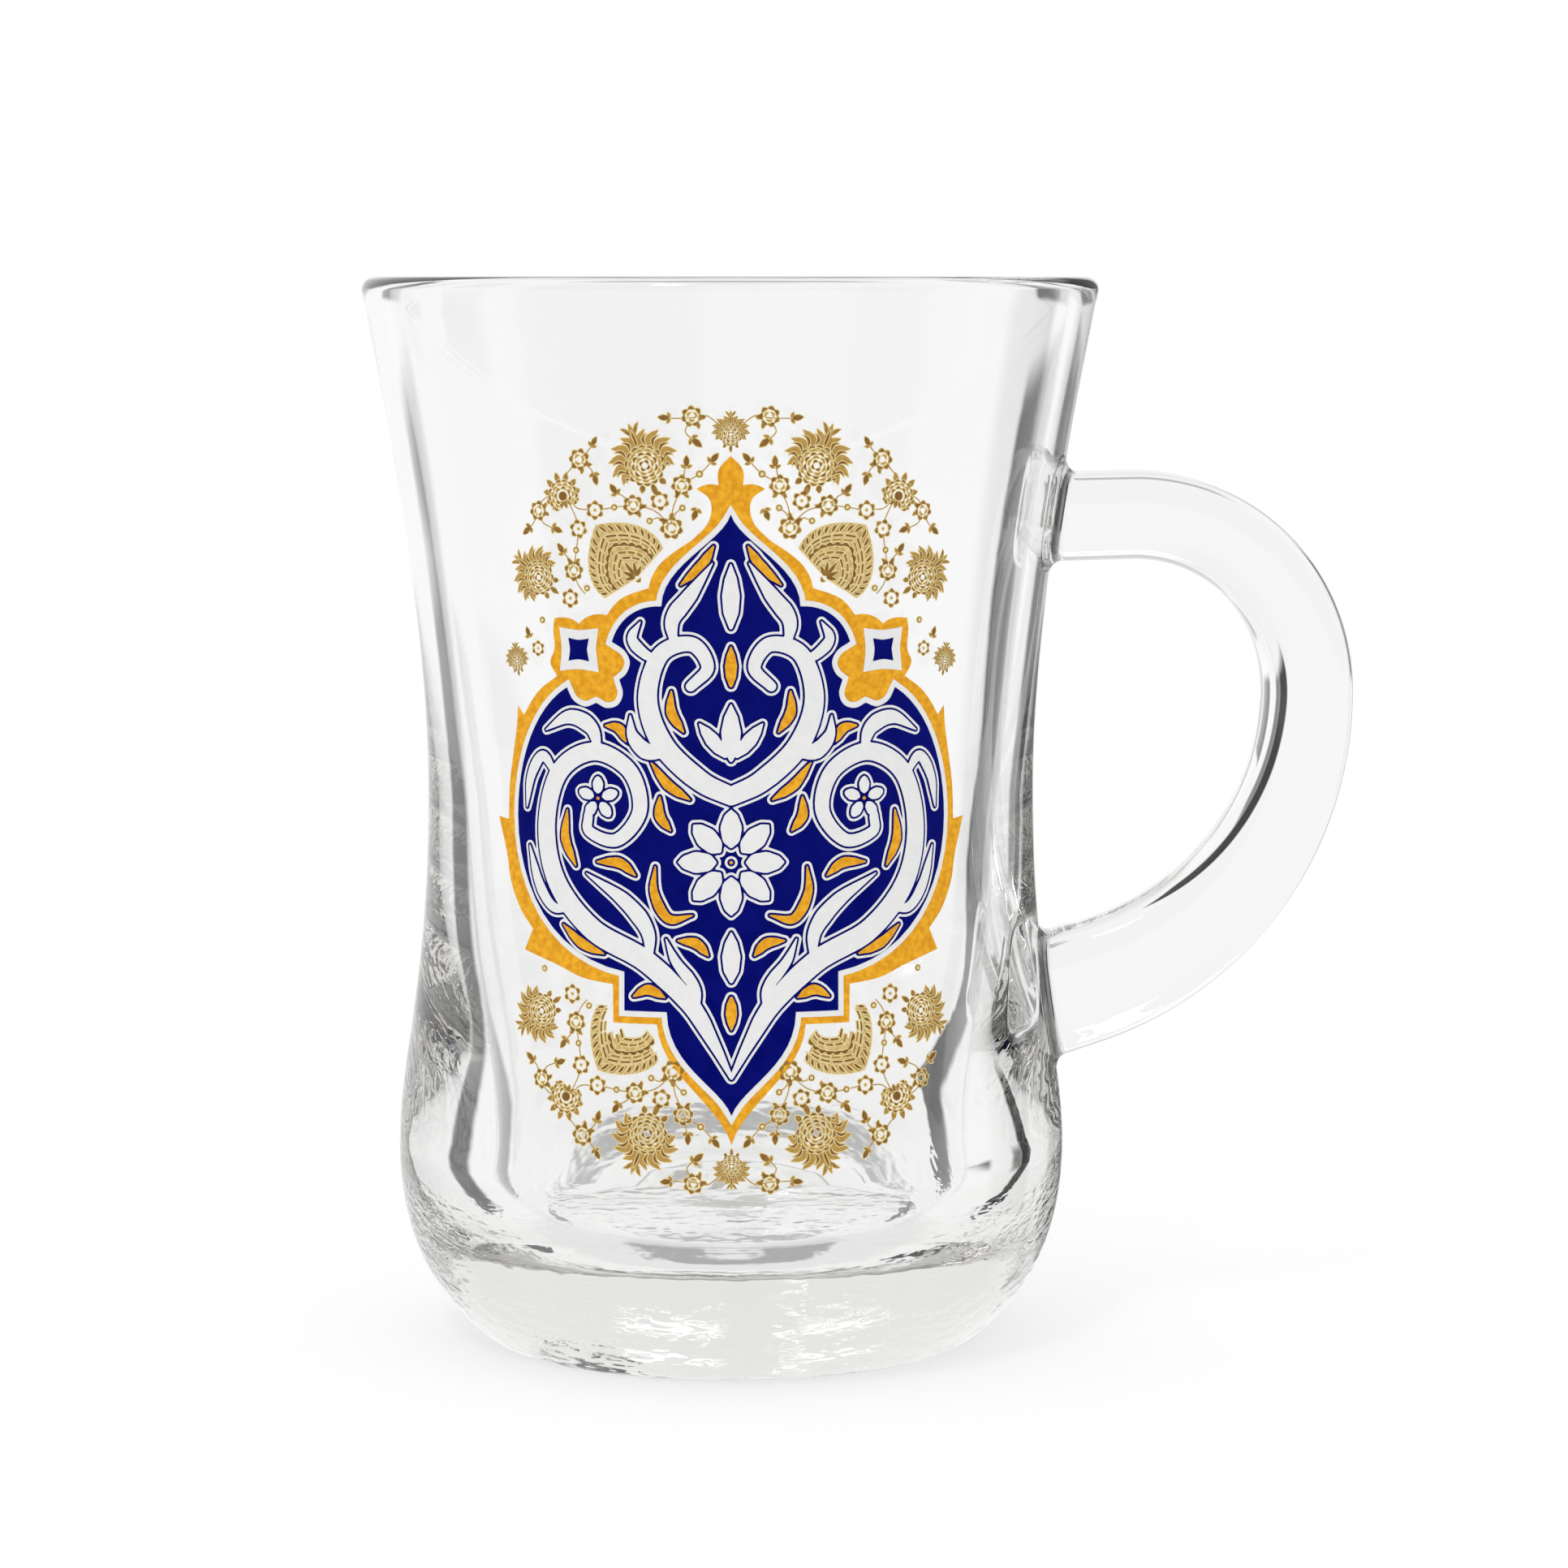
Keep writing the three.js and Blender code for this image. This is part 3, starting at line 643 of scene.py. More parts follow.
def wrap(tree, geometry, inputs):
    """Lays a flat drawing round the wall: arc length to angle, height to height, lift outwards."""
    position = put(tree, "GeometryNodeInputPosition")[0]
    length, height, lift = put(tree, "ShaderNodeSeparateXYZ", {0: position})
    wall = put(tree, "GeometryNodeObjectInfo", {0: inputs["Wall"]})["Geometry"]
    rise = put(tree, "ShaderNodeCombineXYZ", {2: calc(tree, "ADD", height, inputs["Middle Height"])})[0]

    def probe(angle):
        ahead = times(tree, calc(tree, "COSINE", angle), -1.0)
        outward = put(tree, "ShaderNodeCombineXYZ", {0: calc(tree, "SINE", angle), 1: ahead})[0]
        terms = {"Target Geometry": wall, "Ray Direction": scaled(tree, outward, -1.0), "Ray Length": PROBE,
                 "Source Position": vector_calc(tree, "ADD", scaled(tree, outward, PROBE), rise)}
        return put(tree, "GeometryNodeRaycast", terms)["Hit Position"], outward

    front = put(tree, "ShaderNodeSeparateXYZ", {0: probe(0.0)[0]})[1]
    hit, outward = probe(calc(tree, "DIVIDE", length, calc(tree, "ABSOLUTE", front)))
    proud = scaled(tree, outward, calc(tree, "ADD", lift, inputs["Gap"]))
    return moved(tree, geometry, Position=vector_calc(tree, "ADD", hit, proud))


WRAP_INPUTS = {"Wall": "Object", "Middle Height": "Float", "Gap": "Float"}
WRAP_VALUES = {"Wall": body, "Middle Height": PRINT_HEIGHT * MM, "Gap": FILM_GAP * MM}
screening, film_in = new_tree("screened_film", **WRAP_INPUTS)
close_tree(screening, wrap(screening, film_in["Geometry"], film_in), film_in["Material"])


def fixed(piece, nodes):
    """Fixes a piece of the print to the glass, in place of its nodes."""
    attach(piece, "root")
    if nodes:
        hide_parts(*nodes)


def printed(name, films, material, slot, *nodes):
    """A piece of flat films, laid on the wall and fixed to it."""
    fixed(grown(name, films.mesh(name), screening, material, **WRAP_VALUES), nodes)


def enamel(name, dark, light, grain, roughness, specular):
    """Fired enamel: a fine mottle of two shades, slightly uneven gloss and a faint orange peel."""
    material, tree, shader, place = new_material(name)
    mottle = cloud(tree, place, grain, 4.0)
    shade = tinted(tree, ease(tree, mottle, 0.3, 0.7), (*dark, 1), (*light, 1))
    gloss = ease(tree, mottle, 0.25, 0.75, roughness * (1 - GLOSS_SPREAD), roughness * (1 + GLOSS_SPREAD))
    peel = bump(tree, mottle, PEEL_DEPTH, PEEL_STRENGTH)
    feed(tree, shader, {"Base Color": shade, "Roughness": gloss, "Normal": peel, "Specular IOR Level": specular})
    return material


panel = traced(
    (0, 23.6),
    ("curve", (0.7, 21.3), (5.7, 19.4), (5.72, 16)), ("curve", (7.8, 16.1), (9.4, 14.9), (10, 13)),
    ("wave", (8.9, 12.3), (8.43, 11.35), (8.73, 10.4), (9.35, 9.85)),
    ("wave", (9.05, 8.7), (9.5, 7.75), (10.5, 7.45), (11.45, 7.85)),
    ("wave", (12.5, 7.5), (13.6, 8), (14.22, 9.05)),
    ("curve", (17.4, 7.2), (19.5, 2.8), (19.5, -2)), ("curve", (19.5, -8), (15.5, -13.4), (9, -14.4)),
    ("line", (9, -17.6), (5.36, -17.6)), ("curve", (5.3, -22), (0.9, -23.6), (0, -26)))
border = traced(
    (0, 28.4),
    ("wave", (0.8, 27.6), (1.06, 26.9), (1, 26)), ("bow", (1.9, 26.3), (2.8, 25.7)),
    ("wave", (1.8, 24.95), (1.58, 23.9), (2, 22.7), (3.23, 21.45)),
    ("wave", (4.74, 20.45), (5.85, 19.5), (6.55, 18.4), (6.8, 17.5)),
    ("wave", (8.7, 16.85), (9.7, 16.15), (10.45, 15.2)),
    ("bow", (12, 15.5), (13.04, 14.4)), ("bow", (13.8, 15.1), (15.36, 14.8)),
    ("wave", (15.5, 13.8), (15.4, 12.25), (15.85, 11.1), (15.2, 9.95)),
    ("wave", (16.9, 8.8), (18, 7.6), (18.75, 6.5)), ("line", (19.42, 7.26)),
    ("wave", (19.65, 5.2), (20.5, 0.75), (20.66, -2.4)), ("line", (21.9, -2.24)),
    ("wave", (20.9, -5.3), (20.4, -7.6), (19.3, -9.8), (17.85, -11.4)), ("bow", (18.2, -12.1), (18.74, -13.2)),
    ("wave", (15.3, -14.2), (12.85, -15.1), (10.04, -15.5)), ("line", (10, -18.65), (6.2, -18.65)),
    ("curve", (6, -22.6), (1, -25), (0, -28.4)))


def hollow_square(radius, waist, side):
    """A four-pointed square with hollow sides, in a corner of the medallion."""
    corners = [(radius if i % 2 else waist) * np.array((cos(pi / 4 * i), sin(pi / 4 * i))) for i in range(9)]
    line = []
    for i in range(0, 8, 2):
        line += bezier(corners[i - 1], corners[i] * 0.95, corners[i] * 0.95, corners[i + 1], 6)
    return np.array(line) + STAR_MIDDLE * (side, 1)


amber_film, ivory_film, cobalt_film = Films(), Films(), Films()
star_holes = [hollow_square(*STAR_HOLE, side) for side in (-1, 1)]
amber_film.fill([border, widened(panel, BORDER_LAP)] + star_holes, *layer(0))
ivory_film.fill([widened(panel, KEYLINE_OUT), widened(panel, KEYLINE_IN)], *layer(1))
cobalt_film.fill([panel], *layer(2))
for side in (-1, 1):
    ivory_film.fill([hollow_square(*STAR_GROUND, side)], *layer(1))
    cobalt_film.fill([hollow_square(*STAR, side)], *layer(2))

amber_enamel = enamel("amber_enamel", (0.66, 0.28, 0.01), (0.84, 0.42, 0.022), 0.5, 0.45, 0.1)
ivory_enamel = enamel("ivory_enamel", (0.74, 0.745, 0.74), (0.78, 0.785, 0.77), 0.8, 0.4, 0.15)
cobalt_enamel = enamel("cobalt_enamel", (0.0005, 0.002, 0.12), (0.0015, 0.0035, 0.145), 2.0, 0.25, 0.03)
printed("medallion_border", amber_film, amber_enamel, "amber_enamel", "print_border")
printed("medallion_keyline", ivory_film, ivory_enamel, "ivory_enamel", "print_keyline")
printed("medallion_panel", cobalt_film, cobalt_enamel, "cobalt_enamel",
        "print_panel", "print_star_left", "print_star_right")


# Arabesque: ivory scrolls, leaves and flowers with amber leaves between them, drawn over the cobalt panel.
# The brush strokes are fired as ivory and amber enamel, each in a cobalt moat and a fine white outline.
FIELD_STEP = 0.1
FIELD_LOW, FIELD_HIGH = np.array((-21.0, -27.0)), np.array((21.0, 25.0))
MOAT, OUTLINE = 0.17, 0.38
BRUSH_STEP, BRUSH_MARGIN, FAR_OUTSIDE = 0.08, 0.7, -9.0
LINE_SLACK, SHORTEST_LOOP = 0.012, 8


def brushed(strokes):
    """How far each spot of the panel lies inside the nearest of mirrored strokes, below zero outside them."""
    xs = np.arange(FIELD_LOW[0], FIELD_HIGH[0], FIELD_STEP)
    ys = np.arange(FIELD_LOW[1], FIELD_HIGH[1], FIELD_STEP)
    depth = np.full((len(xs), len(ys)), FAR_OUTSIDE)
    for points, widths in strokes:
        line = np.array([points[0]] + through(points, 40), float)
        length = np.concatenate([[0], np.cumsum(np.linalg.norm(np.diff(line, axis=0), axis=1))])
        spots = np.arange(0, length[-1] + 0.05, BRUSH_STEP)
        half = np.interp(spots / length[-1], np.linspace(0, 1, len(widths)), widths) / 2
        x, y = (np.interp(spots, length, line[:, k]) for k in (0, 1))
        for side in (1, -1):
            for x1, y1, r in zip(side * x, y, half):
                low = ((np.array((x1, y1)) - FIELD_LOW - r - BRUSH_MARGIN) / FIELD_STEP).astype(int)
                high = low + int(2 * (r + BRUSH_MARGIN) / FIELD_STEP) + 2
                part = np.s_[max(0, low[0]):high[0], max(0, low[1]):high[1]]
                away = np.hypot(xs[part[0]][:, None] - x1, ys[part[1]][None, :] - y1)
                depth[part] = np.maximum(depth[part], r - away)
    return depth


# The sides of a cell, bottom, right, top and left, that an edge joins, by which of its corners are inside.
CELL_CUTS = {1: "BL", 2: "RB", 3: "RL", 4: "TR", 5: "BLTR", 6: "TB", 7: "TL", 8: "LT", 9: "BT", 10: "RBLT",
             11: "RT", 12: "LR", 13: "BR", 14: "LB"}


def contours(depth, level):
    """Closed loops round what is deeper than a level, thinned to what a smooth line needs."""
    deep = depth > level
    code = deep[:-1, :-1] + 2 * deep[1:, :-1] + 4 * deep[1:, 1:] + 8 * deep[:-1, 1:]
    after = {}
    for i, j in np.argwhere((code > 0) & (code < 15)):
        sides = {"B": (i, j, 0), "T": (i, j + 1, 0), "L": (i, j, 1), "R": (i + 1, j, 1)}
        cuts = CELL_CUTS[int(code[i, j])]
        for k in range(0, len(cuts), 2):
            after[sides[cuts[k]]] = sides[cuts[k + 1]]
    loops = []
    while after:
        start, here = after.popitem()
        keys = [start]
        while here != start:
            keys.append(here)
            here = after.pop(here)
        loop = []
        for i, j, upright in keys:
            a, b = depth[i, j], depth[i + 1 - upright, j + upright]
            share = (level - a) / (b - a)
            loop.append(FIELD_LOW + FIELD_STEP * np.array((i + share * (1 - upright), j + share * upright)))
        if len(loop) > SHORTEST_LOOP:
            loops.append(thinned(np.array(loop), LINE_SLACK))
    return loops


def thinned(loop, slack):
    """A loop without the points that lie on the line between others."""
    kept = {0, len(loop) // 2}
    runs = [(0, len(loop) // 2), (len(loop) // 2, len(loop))]
    ring = np.vstack([loop, loop[:1]])
    while runs:
        first, last = runs.pop()
        if last - first < 2:
            continue
        line = ring[last] - ring[first]
        off = ring[first + 1:last] - ring[first]
        away = np.abs(line[0] * off[:, 1] - line[1] * off[:, 0]) / (np.hypot(*line) + 1e-9)
        worst = int(away.argmax())
        if away[worst] > slack:
            kept.add(first + 1 + worst)
            runs += [(first, first + 1 + worst), (first + 1 + worst, last)]
    return loop[sorted(kept)]


def petals(middle, reach, length, width, angles):
    """Pointed petals fanned about a point, as strokes."""
    made = []
    for angle in angles:
        way = np.array((sin(radians(angle)), cos(radians(angle))))
        start = np.array(middle) + way * reach
        widths = (0.3, width * 0.85, width, width * 0.7, 0.1)
        made.append(((start, start + way * length * 0.5, start + way * length), widths))
    return made


LEAF = (0.4, 1.0, 1.35, 1.15, 0.65, 0.1)
SLIM_LEAF = (0.3, 0.8, 0.95, 0.7, 0.1)
AMBER_LEAF = (0.12, 0.7, 0.85, 0.6, 0.12)
ROSETTE_MIDDLE, CURL_FLOWER_MIDDLE = np.array((0, -5.2)), np.array((11.3, -0.1))
ivory_strokes = [
    # the vine that grows from the foot of the panel and curls in its wide part, with its leaves
    (((0, -22.9), (1.4, -20.2), (3.5, -16.8), (7.2, -13.4), (11.9, -11), (15.3, -7.2), (16.3, -2.6), (15, 1.9),
      (11.7, 3.8), (8.5, 2.3), (7.6, -1), (9.6, -3.5), (12.1, -2.9), (12.2, -1.6)),
     (0.3, 1.3, 1.75, 1.8, 1.8, 1.75, 1.65, 1.5, 1.3, 1.1, 0.8)),
    (((13.6, -9.3), (15.6, -9.4), (17.1, -7.5), (18.1, -4.4)), SLIM_LEAF),
    (((15.2, 1.4), (16.6, 3.2), (17.9, 1.5), (18.4, -1.2)), SLIM_LEAF),
    (((11.2, 3.8), (11.9, 5.8), (13.9, 6.6), (16.3, 5.4)), LEAF),
    (((6.8, -13.5), (7, -10.9), (9, -8.5), (12.4, -6.4)), LEAF),
    (((2.9, -17.8), (3, -15.6), (4.6, -13.4), (5.4, -11.6)), SLIM_LEAF),
    # the heart-shaped vine of the upper part, with its leaves
    (((0, 0.3), (2.6, 1.6), (5.6, 4.5), (6.9, 8.3), (5.8, 12), (3.2, 12.9), (1.9, 11), (3.3, 9.4)),
     (1.5, 1.75, 1.75, 1.6, 1.35, 1.15, 0.8)),
    (((5, 4), (6.9, 3.9), (8.2, 5.2), (8.4, 6.9)), LEAF),
    (((5.9, 11.5), (7.2, 12.1), (8.2, 13.3), (7.5, 14.7)), SLIM_LEAF),
    (((4.6, 12.7), (4.8, 14.9), (3.3, 17), (1.5, 19.6)), LEAF),
]
ivory_strokes += petals(ROSETTE_MIDDLE, 1.35, 3.0, 1.75, range(0, 360, 45))
ivory_strokes += petals(CURL_FLOWER_MIDDLE, 0.55, 1.25, 0.95, range(0, 360, 72))
ivory_strokes += petals((0, 3), 0.3, 4.6, 1.6, (0,)) + petals((0, 3), 0.8, 3.4, 1.15, (38,))
ivory_strokes += petals((0, 14.2), 0.1, 5.2, 1.45, (0,)) + petals((0, -15.4), 0.4, 4.0, 1.5, (0,))
amber_strokes = [(points, AMBER_LEAF) for points in (
    ((3.2, -9.6), (5.2, -9.9), (6.4, -7.8), (6.3, -5.6)), ((8, -6.4), (9.4, -5.4), (11.4, -5.4)),
    ((13.4, -5.8), (14.4, -3.6), (14.2, -1.2)), ((3.4, 0), (5.2, 1.2), (6.6, 3)),
    ((5, -2.6), (5.9, -1.4), (5.9, 0.2)), ((3.9, 5.6), (4.9, 7.2), (4.9, 9)),
    ((8.6, 4.6), (9.4, 5.8), (10.6, 6)), ((1.4, 21), (2.4, 19.4), (4.1, 17.8)),
    ((10.8, -13), (12.9, -12.2), (14.6, -10.8)), ((5.5, -16.4), (6.9, -15.8), (8.2, -16.4)),
    ((1.9, -12.9), (2.9, -11.9), (4.4, -11.7)),
)]
amber_strokes += petals(ROSETTE_MIDDLE, 0.0, 0.02, 1.7, (0,)) + petals(CURL_FLOWER_MIDDLE, 0.0, 0.02, 0.8, (0,))
amber_strokes += petals((0, 9.4), 0.1, 3.2, 1.0, (0,)) + petals((0, -16.1), 0.3, 2.6, 0.95, (180,))

ivory_depth, amber_depth = brushed(ivory_strokes), brushed(amber_strokes)
amber_depth = np.minimum(amber_depth, -ivory_depth - MOAT)
any_depth = np.maximum(ivory_depth, amber_depth)
outline_film, moat_film, scroll_film, leaf_film = Films(), Films(), Films(), Films()
for film, depth, level, step in ((outline_film, any_depth, -OUTLINE, 3), (moat_film, any_depth, -MOAT, 4),
                                 (scroll_film, ivory_depth, 0, 5), (leaf_film, amber_depth, 0, 5)):
    film.fill(contours(depth, level), *layer(step))
printed("arabesque_outline", outline_film, ivory_enamel, "ivory_enamel")
printed("arabesque_moat", moat_film, cobalt_enamel, "cobalt_enamel")
printed("arabesque_scrolls", scroll_film, ivory_enamel, "ivory_enamel",
        "print_lower_vine_left", "print_lower_vine_right", "print_upper_vine_left", "print_upper_vine_right",
        "print_rosette", "print_lotus", "print_bud", "print_pendant", "print_whorl_left", "print_whorl_right")
printed("arabesque_leaves", leaf_film, amber_enamel, "amber_enamel")


# Gold flowers: lotuses, palmettes, small blossoms, buds and stems on the bare glass round the medallion.
# They are fired in brown and gold strokes with pale rims, a quarter repeated about both middle lines.
GOLD_FILM, GOLD_STEP, PALE_RIM = 0.01, 0.012, 0.075
BROWN, GOLD, PALE = 0.0, 0.5, 1.0
DARK_GOLD, MID_GOLD, PALE_GOLD = (0.2, 0.09, 0.009, 1), (0.45, 0.275, 0.06, 1), (0.78, 0.64, 0.31, 1)
GOLD_GRAIN, GOLD_WEAR = 1 / 2.6, 0.14
QUARTERS = [(side, up) for side in (1, -1) for up in (1, -1)]
FLOWER_CLEARANCE, FAN_CLEARANCE = 0.3, 0.45
FAN_LEAN, FAN_PLACE = 40, (7.5, 18)
STEM_HALF, STEM_TONE = 0.055, 0.55


def leaf(base, tip, width, bend=0.0, steps=5):
    """A pointed leaf from its base to its tip, bowed to one side, counter-clockwise."""
    base, tip = np.array(base, float), np.array(tip, float)
    way = tip - base
    across = np.array((way[1], -way[0])) / np.hypot(*way)
    t = np.linspace(0, 1, steps + 1)[:, None]
    line = base + way * t + across * bend * 4 * t * (1 - t)
    half = width / 2 * np.maximum(0.05, np.sin(pi * (0.12 + 0.88 * t)) ** 0.9)
    return np.vstack([line + across * half, (line - across * half)[::-1]])


def disc(middle, radius, sides=8):
    turn = np.linspace(0, 2 * pi, sides, endpoint=False)
    return np.array(middle) + radius * np.stack([np.cos(turn), np.sin(turn)], 1)


def polar(middle, angle, reach):
    """A spot at an angle from upright and a reach from a middle."""
    return np.array(middle) + reach * np.array((sin(radians(angle)), cos(radians(angle))))


def fanned(middle, angle, start, end, width, bend=0.0):
    """A leaf that points away from a middle."""
    return leaf(polar(middle, angle, start), polar(middle, angle, end), width, bend)


def scallop(middle, angle, reach, spread, width, bend):
    """A short arc across the way out from a middle, bowed outwards."""
    return leaf(polar(middle, angle + spread, reach), polar(middle, angle - spread, reach), width, bend, 4)


def round_about(stroke, middle, angles, *sizes, tone):
    """The same stroke at each of some angles round a middle."""
    return [(stroke(middle, angle, *sizes), 0, tone) for angle in angles]


def scale_rows(heart, rows, turn=360):
    """Rows of scallops round a heart, each a reach, a count and a tone."""
    cells = []
    for reach, count, tone in rows:
        for i in range(count):
            angle = turn * ((i + 0.5) / count - 0.5)
            cells.append((scallop(heart, angle, reach, turn * 0.42 / count, 0.22, 0.13), 2, tone))
    return cells


def lotus_cells():
    heart = (0, 1.9)
    cells = [(fanned(heart, 0, 1.4, 3.9, 0.66), 0, 0.45), (fanned(heart, 0, 1.85, 3.3, 0.24), 2, 0.05)]
    for side in (1, -1):
        cells.append((leaf((0.3 * side, 4.9), (0.85 * side, 5.65), 0.32, -0.1 * side), 0, 0.25))
        for i, angle in enumerate((21, 43, 65, 87, 109)):
            reach = (3.2, 3.35, 3.3, 3.1, 2.6)[i]
            cells.append((fanned(heart, angle * side, 1.4, reach, 0.8, -0.4 * side), 0, 0.45))
            cells.append((fanned(heart, (angle + 4) * side, 1.85, reach - 0.4, 0.24, -0.3 * side), 2, 0.05))
    rows = ((1.62, 14, 0.1), (1.3, 11, 0.45), (1.0, 9, 0.05), (0.7, 6, 0.4), (0.36, 4, BROWN))
    cells += scale_rows(heart, rows)
    for angle, end in ((180, 2.9), (152, 2.45), (-152, 2.45)):
        cells.append((fanned(heart, angle, 1.8, end, 0.5), 0, 0.2))
    return cells


def aster_cells():
    heart = (0, -0.5)
    cells = [(disc(heart, 0.42, 10), 2, BROWN)]
    cells += scale_rows(heart, ((0.7, 6, 0.15), (1.02, 9, 0.5), (1.34, 11, 0.15)), 290)
    for angle in range(-120, 121, 30):
        cells.append((fanned(heart, angle, 1.3, 1.85 + 0.4 * cos(radians(angle)), 0.5), 0, 0.3))
    return cells + round_about(fanned, heart, (150, 180, 210), 0.5, 1.15, 0.36, tone=0.2)


def ring_cells():
    cells = round_about(scallop, (0, 0), range(0, 360, 60), 0.52, 26, 0.26, 0.12, tone=0.15)
    return cells + [(disc((0, 0), 0.09), 0, GOLD)]


def blossom_cells():
    cells = round_about(scallop, (0, 0), range(0, 360, 52)[:7], 0.66, 24, 0.3, 0.12, tone=0.15)
    cells += round_about(scallop, (0, 0), (0, 120, 240), 0.34, 40, 0.16, 0.1, tone=0.4)
    return cells + round_about(fanned, (0, -0.5), (130, -130), 0.3, 0.75, 0.28, tone=0.2)


def bud_cells():
    cells = round_about(fanned, (0, -0.35), (0,), 0.15, 1.0, 0.46, tone=0.08)
    return cells + round_about(fanned, (0, -0.35), (65, -65), 0.05, 0.5, 0.26, tone=0.3)


def dot_cells():
    return [(disc((0, 0), 0.25), 0, 0.12), (disc((0, 0), 0.08), 2, PALE)]


def gold_cells(films, cells):
    """Lays each stroke of a flower on a pale ground that shows round it."""
    for loop, level, tone in cells:
        low = level * GOLD_STEP
        films.cell(widened(loop, -PALE_RIM), low, low + GOLD_FILM, PALE)
        films.cell(loop, low + GOLD_STEP, low + GOLD_STEP + GOLD_FILM, tone)


scattering, flower_in = new_tree("scattered_flowers", **{"Motif": "Object", **WRAP_INPUTS})
motif = put(scattering, "GeometryNodeObjectInfo", {0: flower_in["Motif"]})["Geometry"]
facing = put(scattering, "ShaderNodeCombineXYZ", {2: named(scattering, "turn")})[0]
size = named(scattering, "size")
sized = put(scattering, "ShaderNodeCombineXYZ", {0: size, 1: size, 2: 1.0})[0]
terms = {"Points": flower_in["Geometry"], "Instance": motif, "Rotation": facing, "Scale": sized}
spread = put(scattering, "GeometryNodeInstanceOnPoints", terms)[0]
real = put(scattering, "GeometryNodeRealizeInstances", {0: spread})[0]
close_tree(scattering, wrap(scattering, real, flower_in), flower_in["Material"])

gold_enamel, tree, shader, place = new_material("gold_enamel")
grain = cloud(tree, place, GOLD_GRAIN, 3.0)
tone = put(tree, "ShaderNodeAttribute", attribute_name="tone")["Fac"]
worn = calc(tree, "ADD", tone, ease(tree, grain, 0.25, 0.75, -GOLD_WEAR, GOLD_WEAR))
lower = tinted(tree, ease(tree, worn, BROWN, GOLD), DARK_GOLD, MID_GOLD)
shade = tinted(tree, ease(tree, worn, GOLD, PALE), lower, PALE_GOLD)
gloss = ease(tree, grain, 0.2, 0.8, 0.35, 0.55)
feed(tree, shader, {"Base Color": shade, "Roughness": gloss, "Specular IOR Level": 0.3})


def scattered(name, cells, spots, *nodes):
    """Repeats a flower at spots of the right top quarter, each with its lean and size, in all quarters."""
    films = Films()
    gold_cells(films, cells)
    motif_object = placed(name + "_motif", films.mesh(name + "_motif"))
    points, turns, sizes = [], [], []
    for x, y, lean, size in spots:
        for side, up in QUARTERS:
            if x or side > 0:
                points.append((x * side, y * up, 0))
                turns.append(-radians(lean * side if up > 0 else 180 - lean * side))
                sizes.append(size)
    clear = np.flatnonzero(~within(np.array(points)[:, :2], [widened(border, FLOWER_CLEARANCE)]))
    points, turns, sizes = ([values[i] for i in clear] for values in (points, turns, sizes))
    mesh = spine_mesh(name + "_spots", points, turn=turns, size=sizes)
    piece = grown(name, mesh, scattering, gold_enamel, Motif=motif_object, **WRAP_VALUES)
    bpy.data.objects.remove(motif_object)
    fixed(piece, nodes)


def quarters(name):
    return [f"{name}_{row}_{side}" for row in ("top", "bottom") for side in ("left", "right")]


scattered("gold_lotuses", lotus_cells(),
          [(6.4, 25.95, 22, 0.93), (15.6, 17.3, 56, 0.8), (0, 29.2, 0, 0.5), (19.3, 10.2, 8, 0.42)],
          *quarters("lotus"), *quarters("side_palmette"), "centre_flower_top", "centre_flower_bottom")
scattered("gold_asters", aster_cells(), [(14.5, 25.4, 20, 0.9)], *quarters("small_flower"))
scattered("gold_rings", ring_cells(), [
    (5.83, 24.71, 10, 1.1), (11.42, 23.87, 0, 1.1), (12.94, 22.29, 15, 1.1), (13.8, 16.51, 0, 1.1),
    (17.1, 12.2, 0, 0.9)])
scattered("gold_blossoms", blossom_cells(), [
    (4, 25.99, 0, 1), (8.07, 24.32, 60, 1), (4.86, 22.5, 205, 1.1), (16.77, 23.71, 100, 0.95),
    (13.44, 18.82, 180, 1), (12.79, 28.02, 40, 1.05), (3.15, 31.62, 60, 1)])
scattered("gold_buds", bud_cells(), [
    (3.61, 27.78, 0, 1), (9.67, 25.5, 35, 1), (11.39, 26.57, 195, 1), (15.08, 22.24, 250, 1),
    (17.9, 22.13, 130, 1), (14.55, 20.5, 35, 1), (2.88, 23.73, 160, 1), (1.42, 28.12, 320, 1),
    (2.9, 29.6, 230, 1.1), (5.3, 31.5, 85, 1), (11.5, 29.4, 330, 0.9), (18.1, 13.4, 20, 0.9)])
scattered("gold_dots", dot_cells(), [
    (2.55, 26.92, 0, 1.1), (3.95, 24.14, 0, 1), (6.69, 23.05, 0, 1), (9.71, 24.13, 0, 1),
    (13.19, 20.53, 0, 1), (12.22, 17.39, 0, 1), (16.6, 14.6, 0, 1)])

FAN_HEART = np.array((0, 0.5))
FAN_EDGE = np.array([(3.3, 0.95)] + bezier((3.3, 0.95), (4.0, 3.0), (2.2, 5.0), (0, 6.1), 48)) - FAN_HEART


def fan_spot(share, size):
    """A spot on the right edge of a fan, by its share of the edge, drawn in towards the heart."""
    t = np.linspace(0, 1, len(FAN_EDGE))
    return np.stack([np.interp(share, t, FAN_EDGE[:, k]) for k in (0, 1)], -1) * size + FAN_HEART


def both_sides(loop, level, tone):
    """A stroke of a fan and its mirror image."""
    return [(loop, level, tone), (loop[::-1] * (-1, 1), level, tone)]


def fan_row(inner, outer, count, slant, tone, level, gap=0.1):
    """Cells of one row along both outer edges of a fan, between two shares of its size."""
    cells = []
    back = slant / count
    for i in range(count):
        t = back + (1 - back) * np.linspace(i + gap, i + 1 - gap, 4) / count
        cells += both_sides(np.vstack([fan_spot(t, outer), fan_spot(t - back, inner)[::-1]]), level, tone)
    return cells


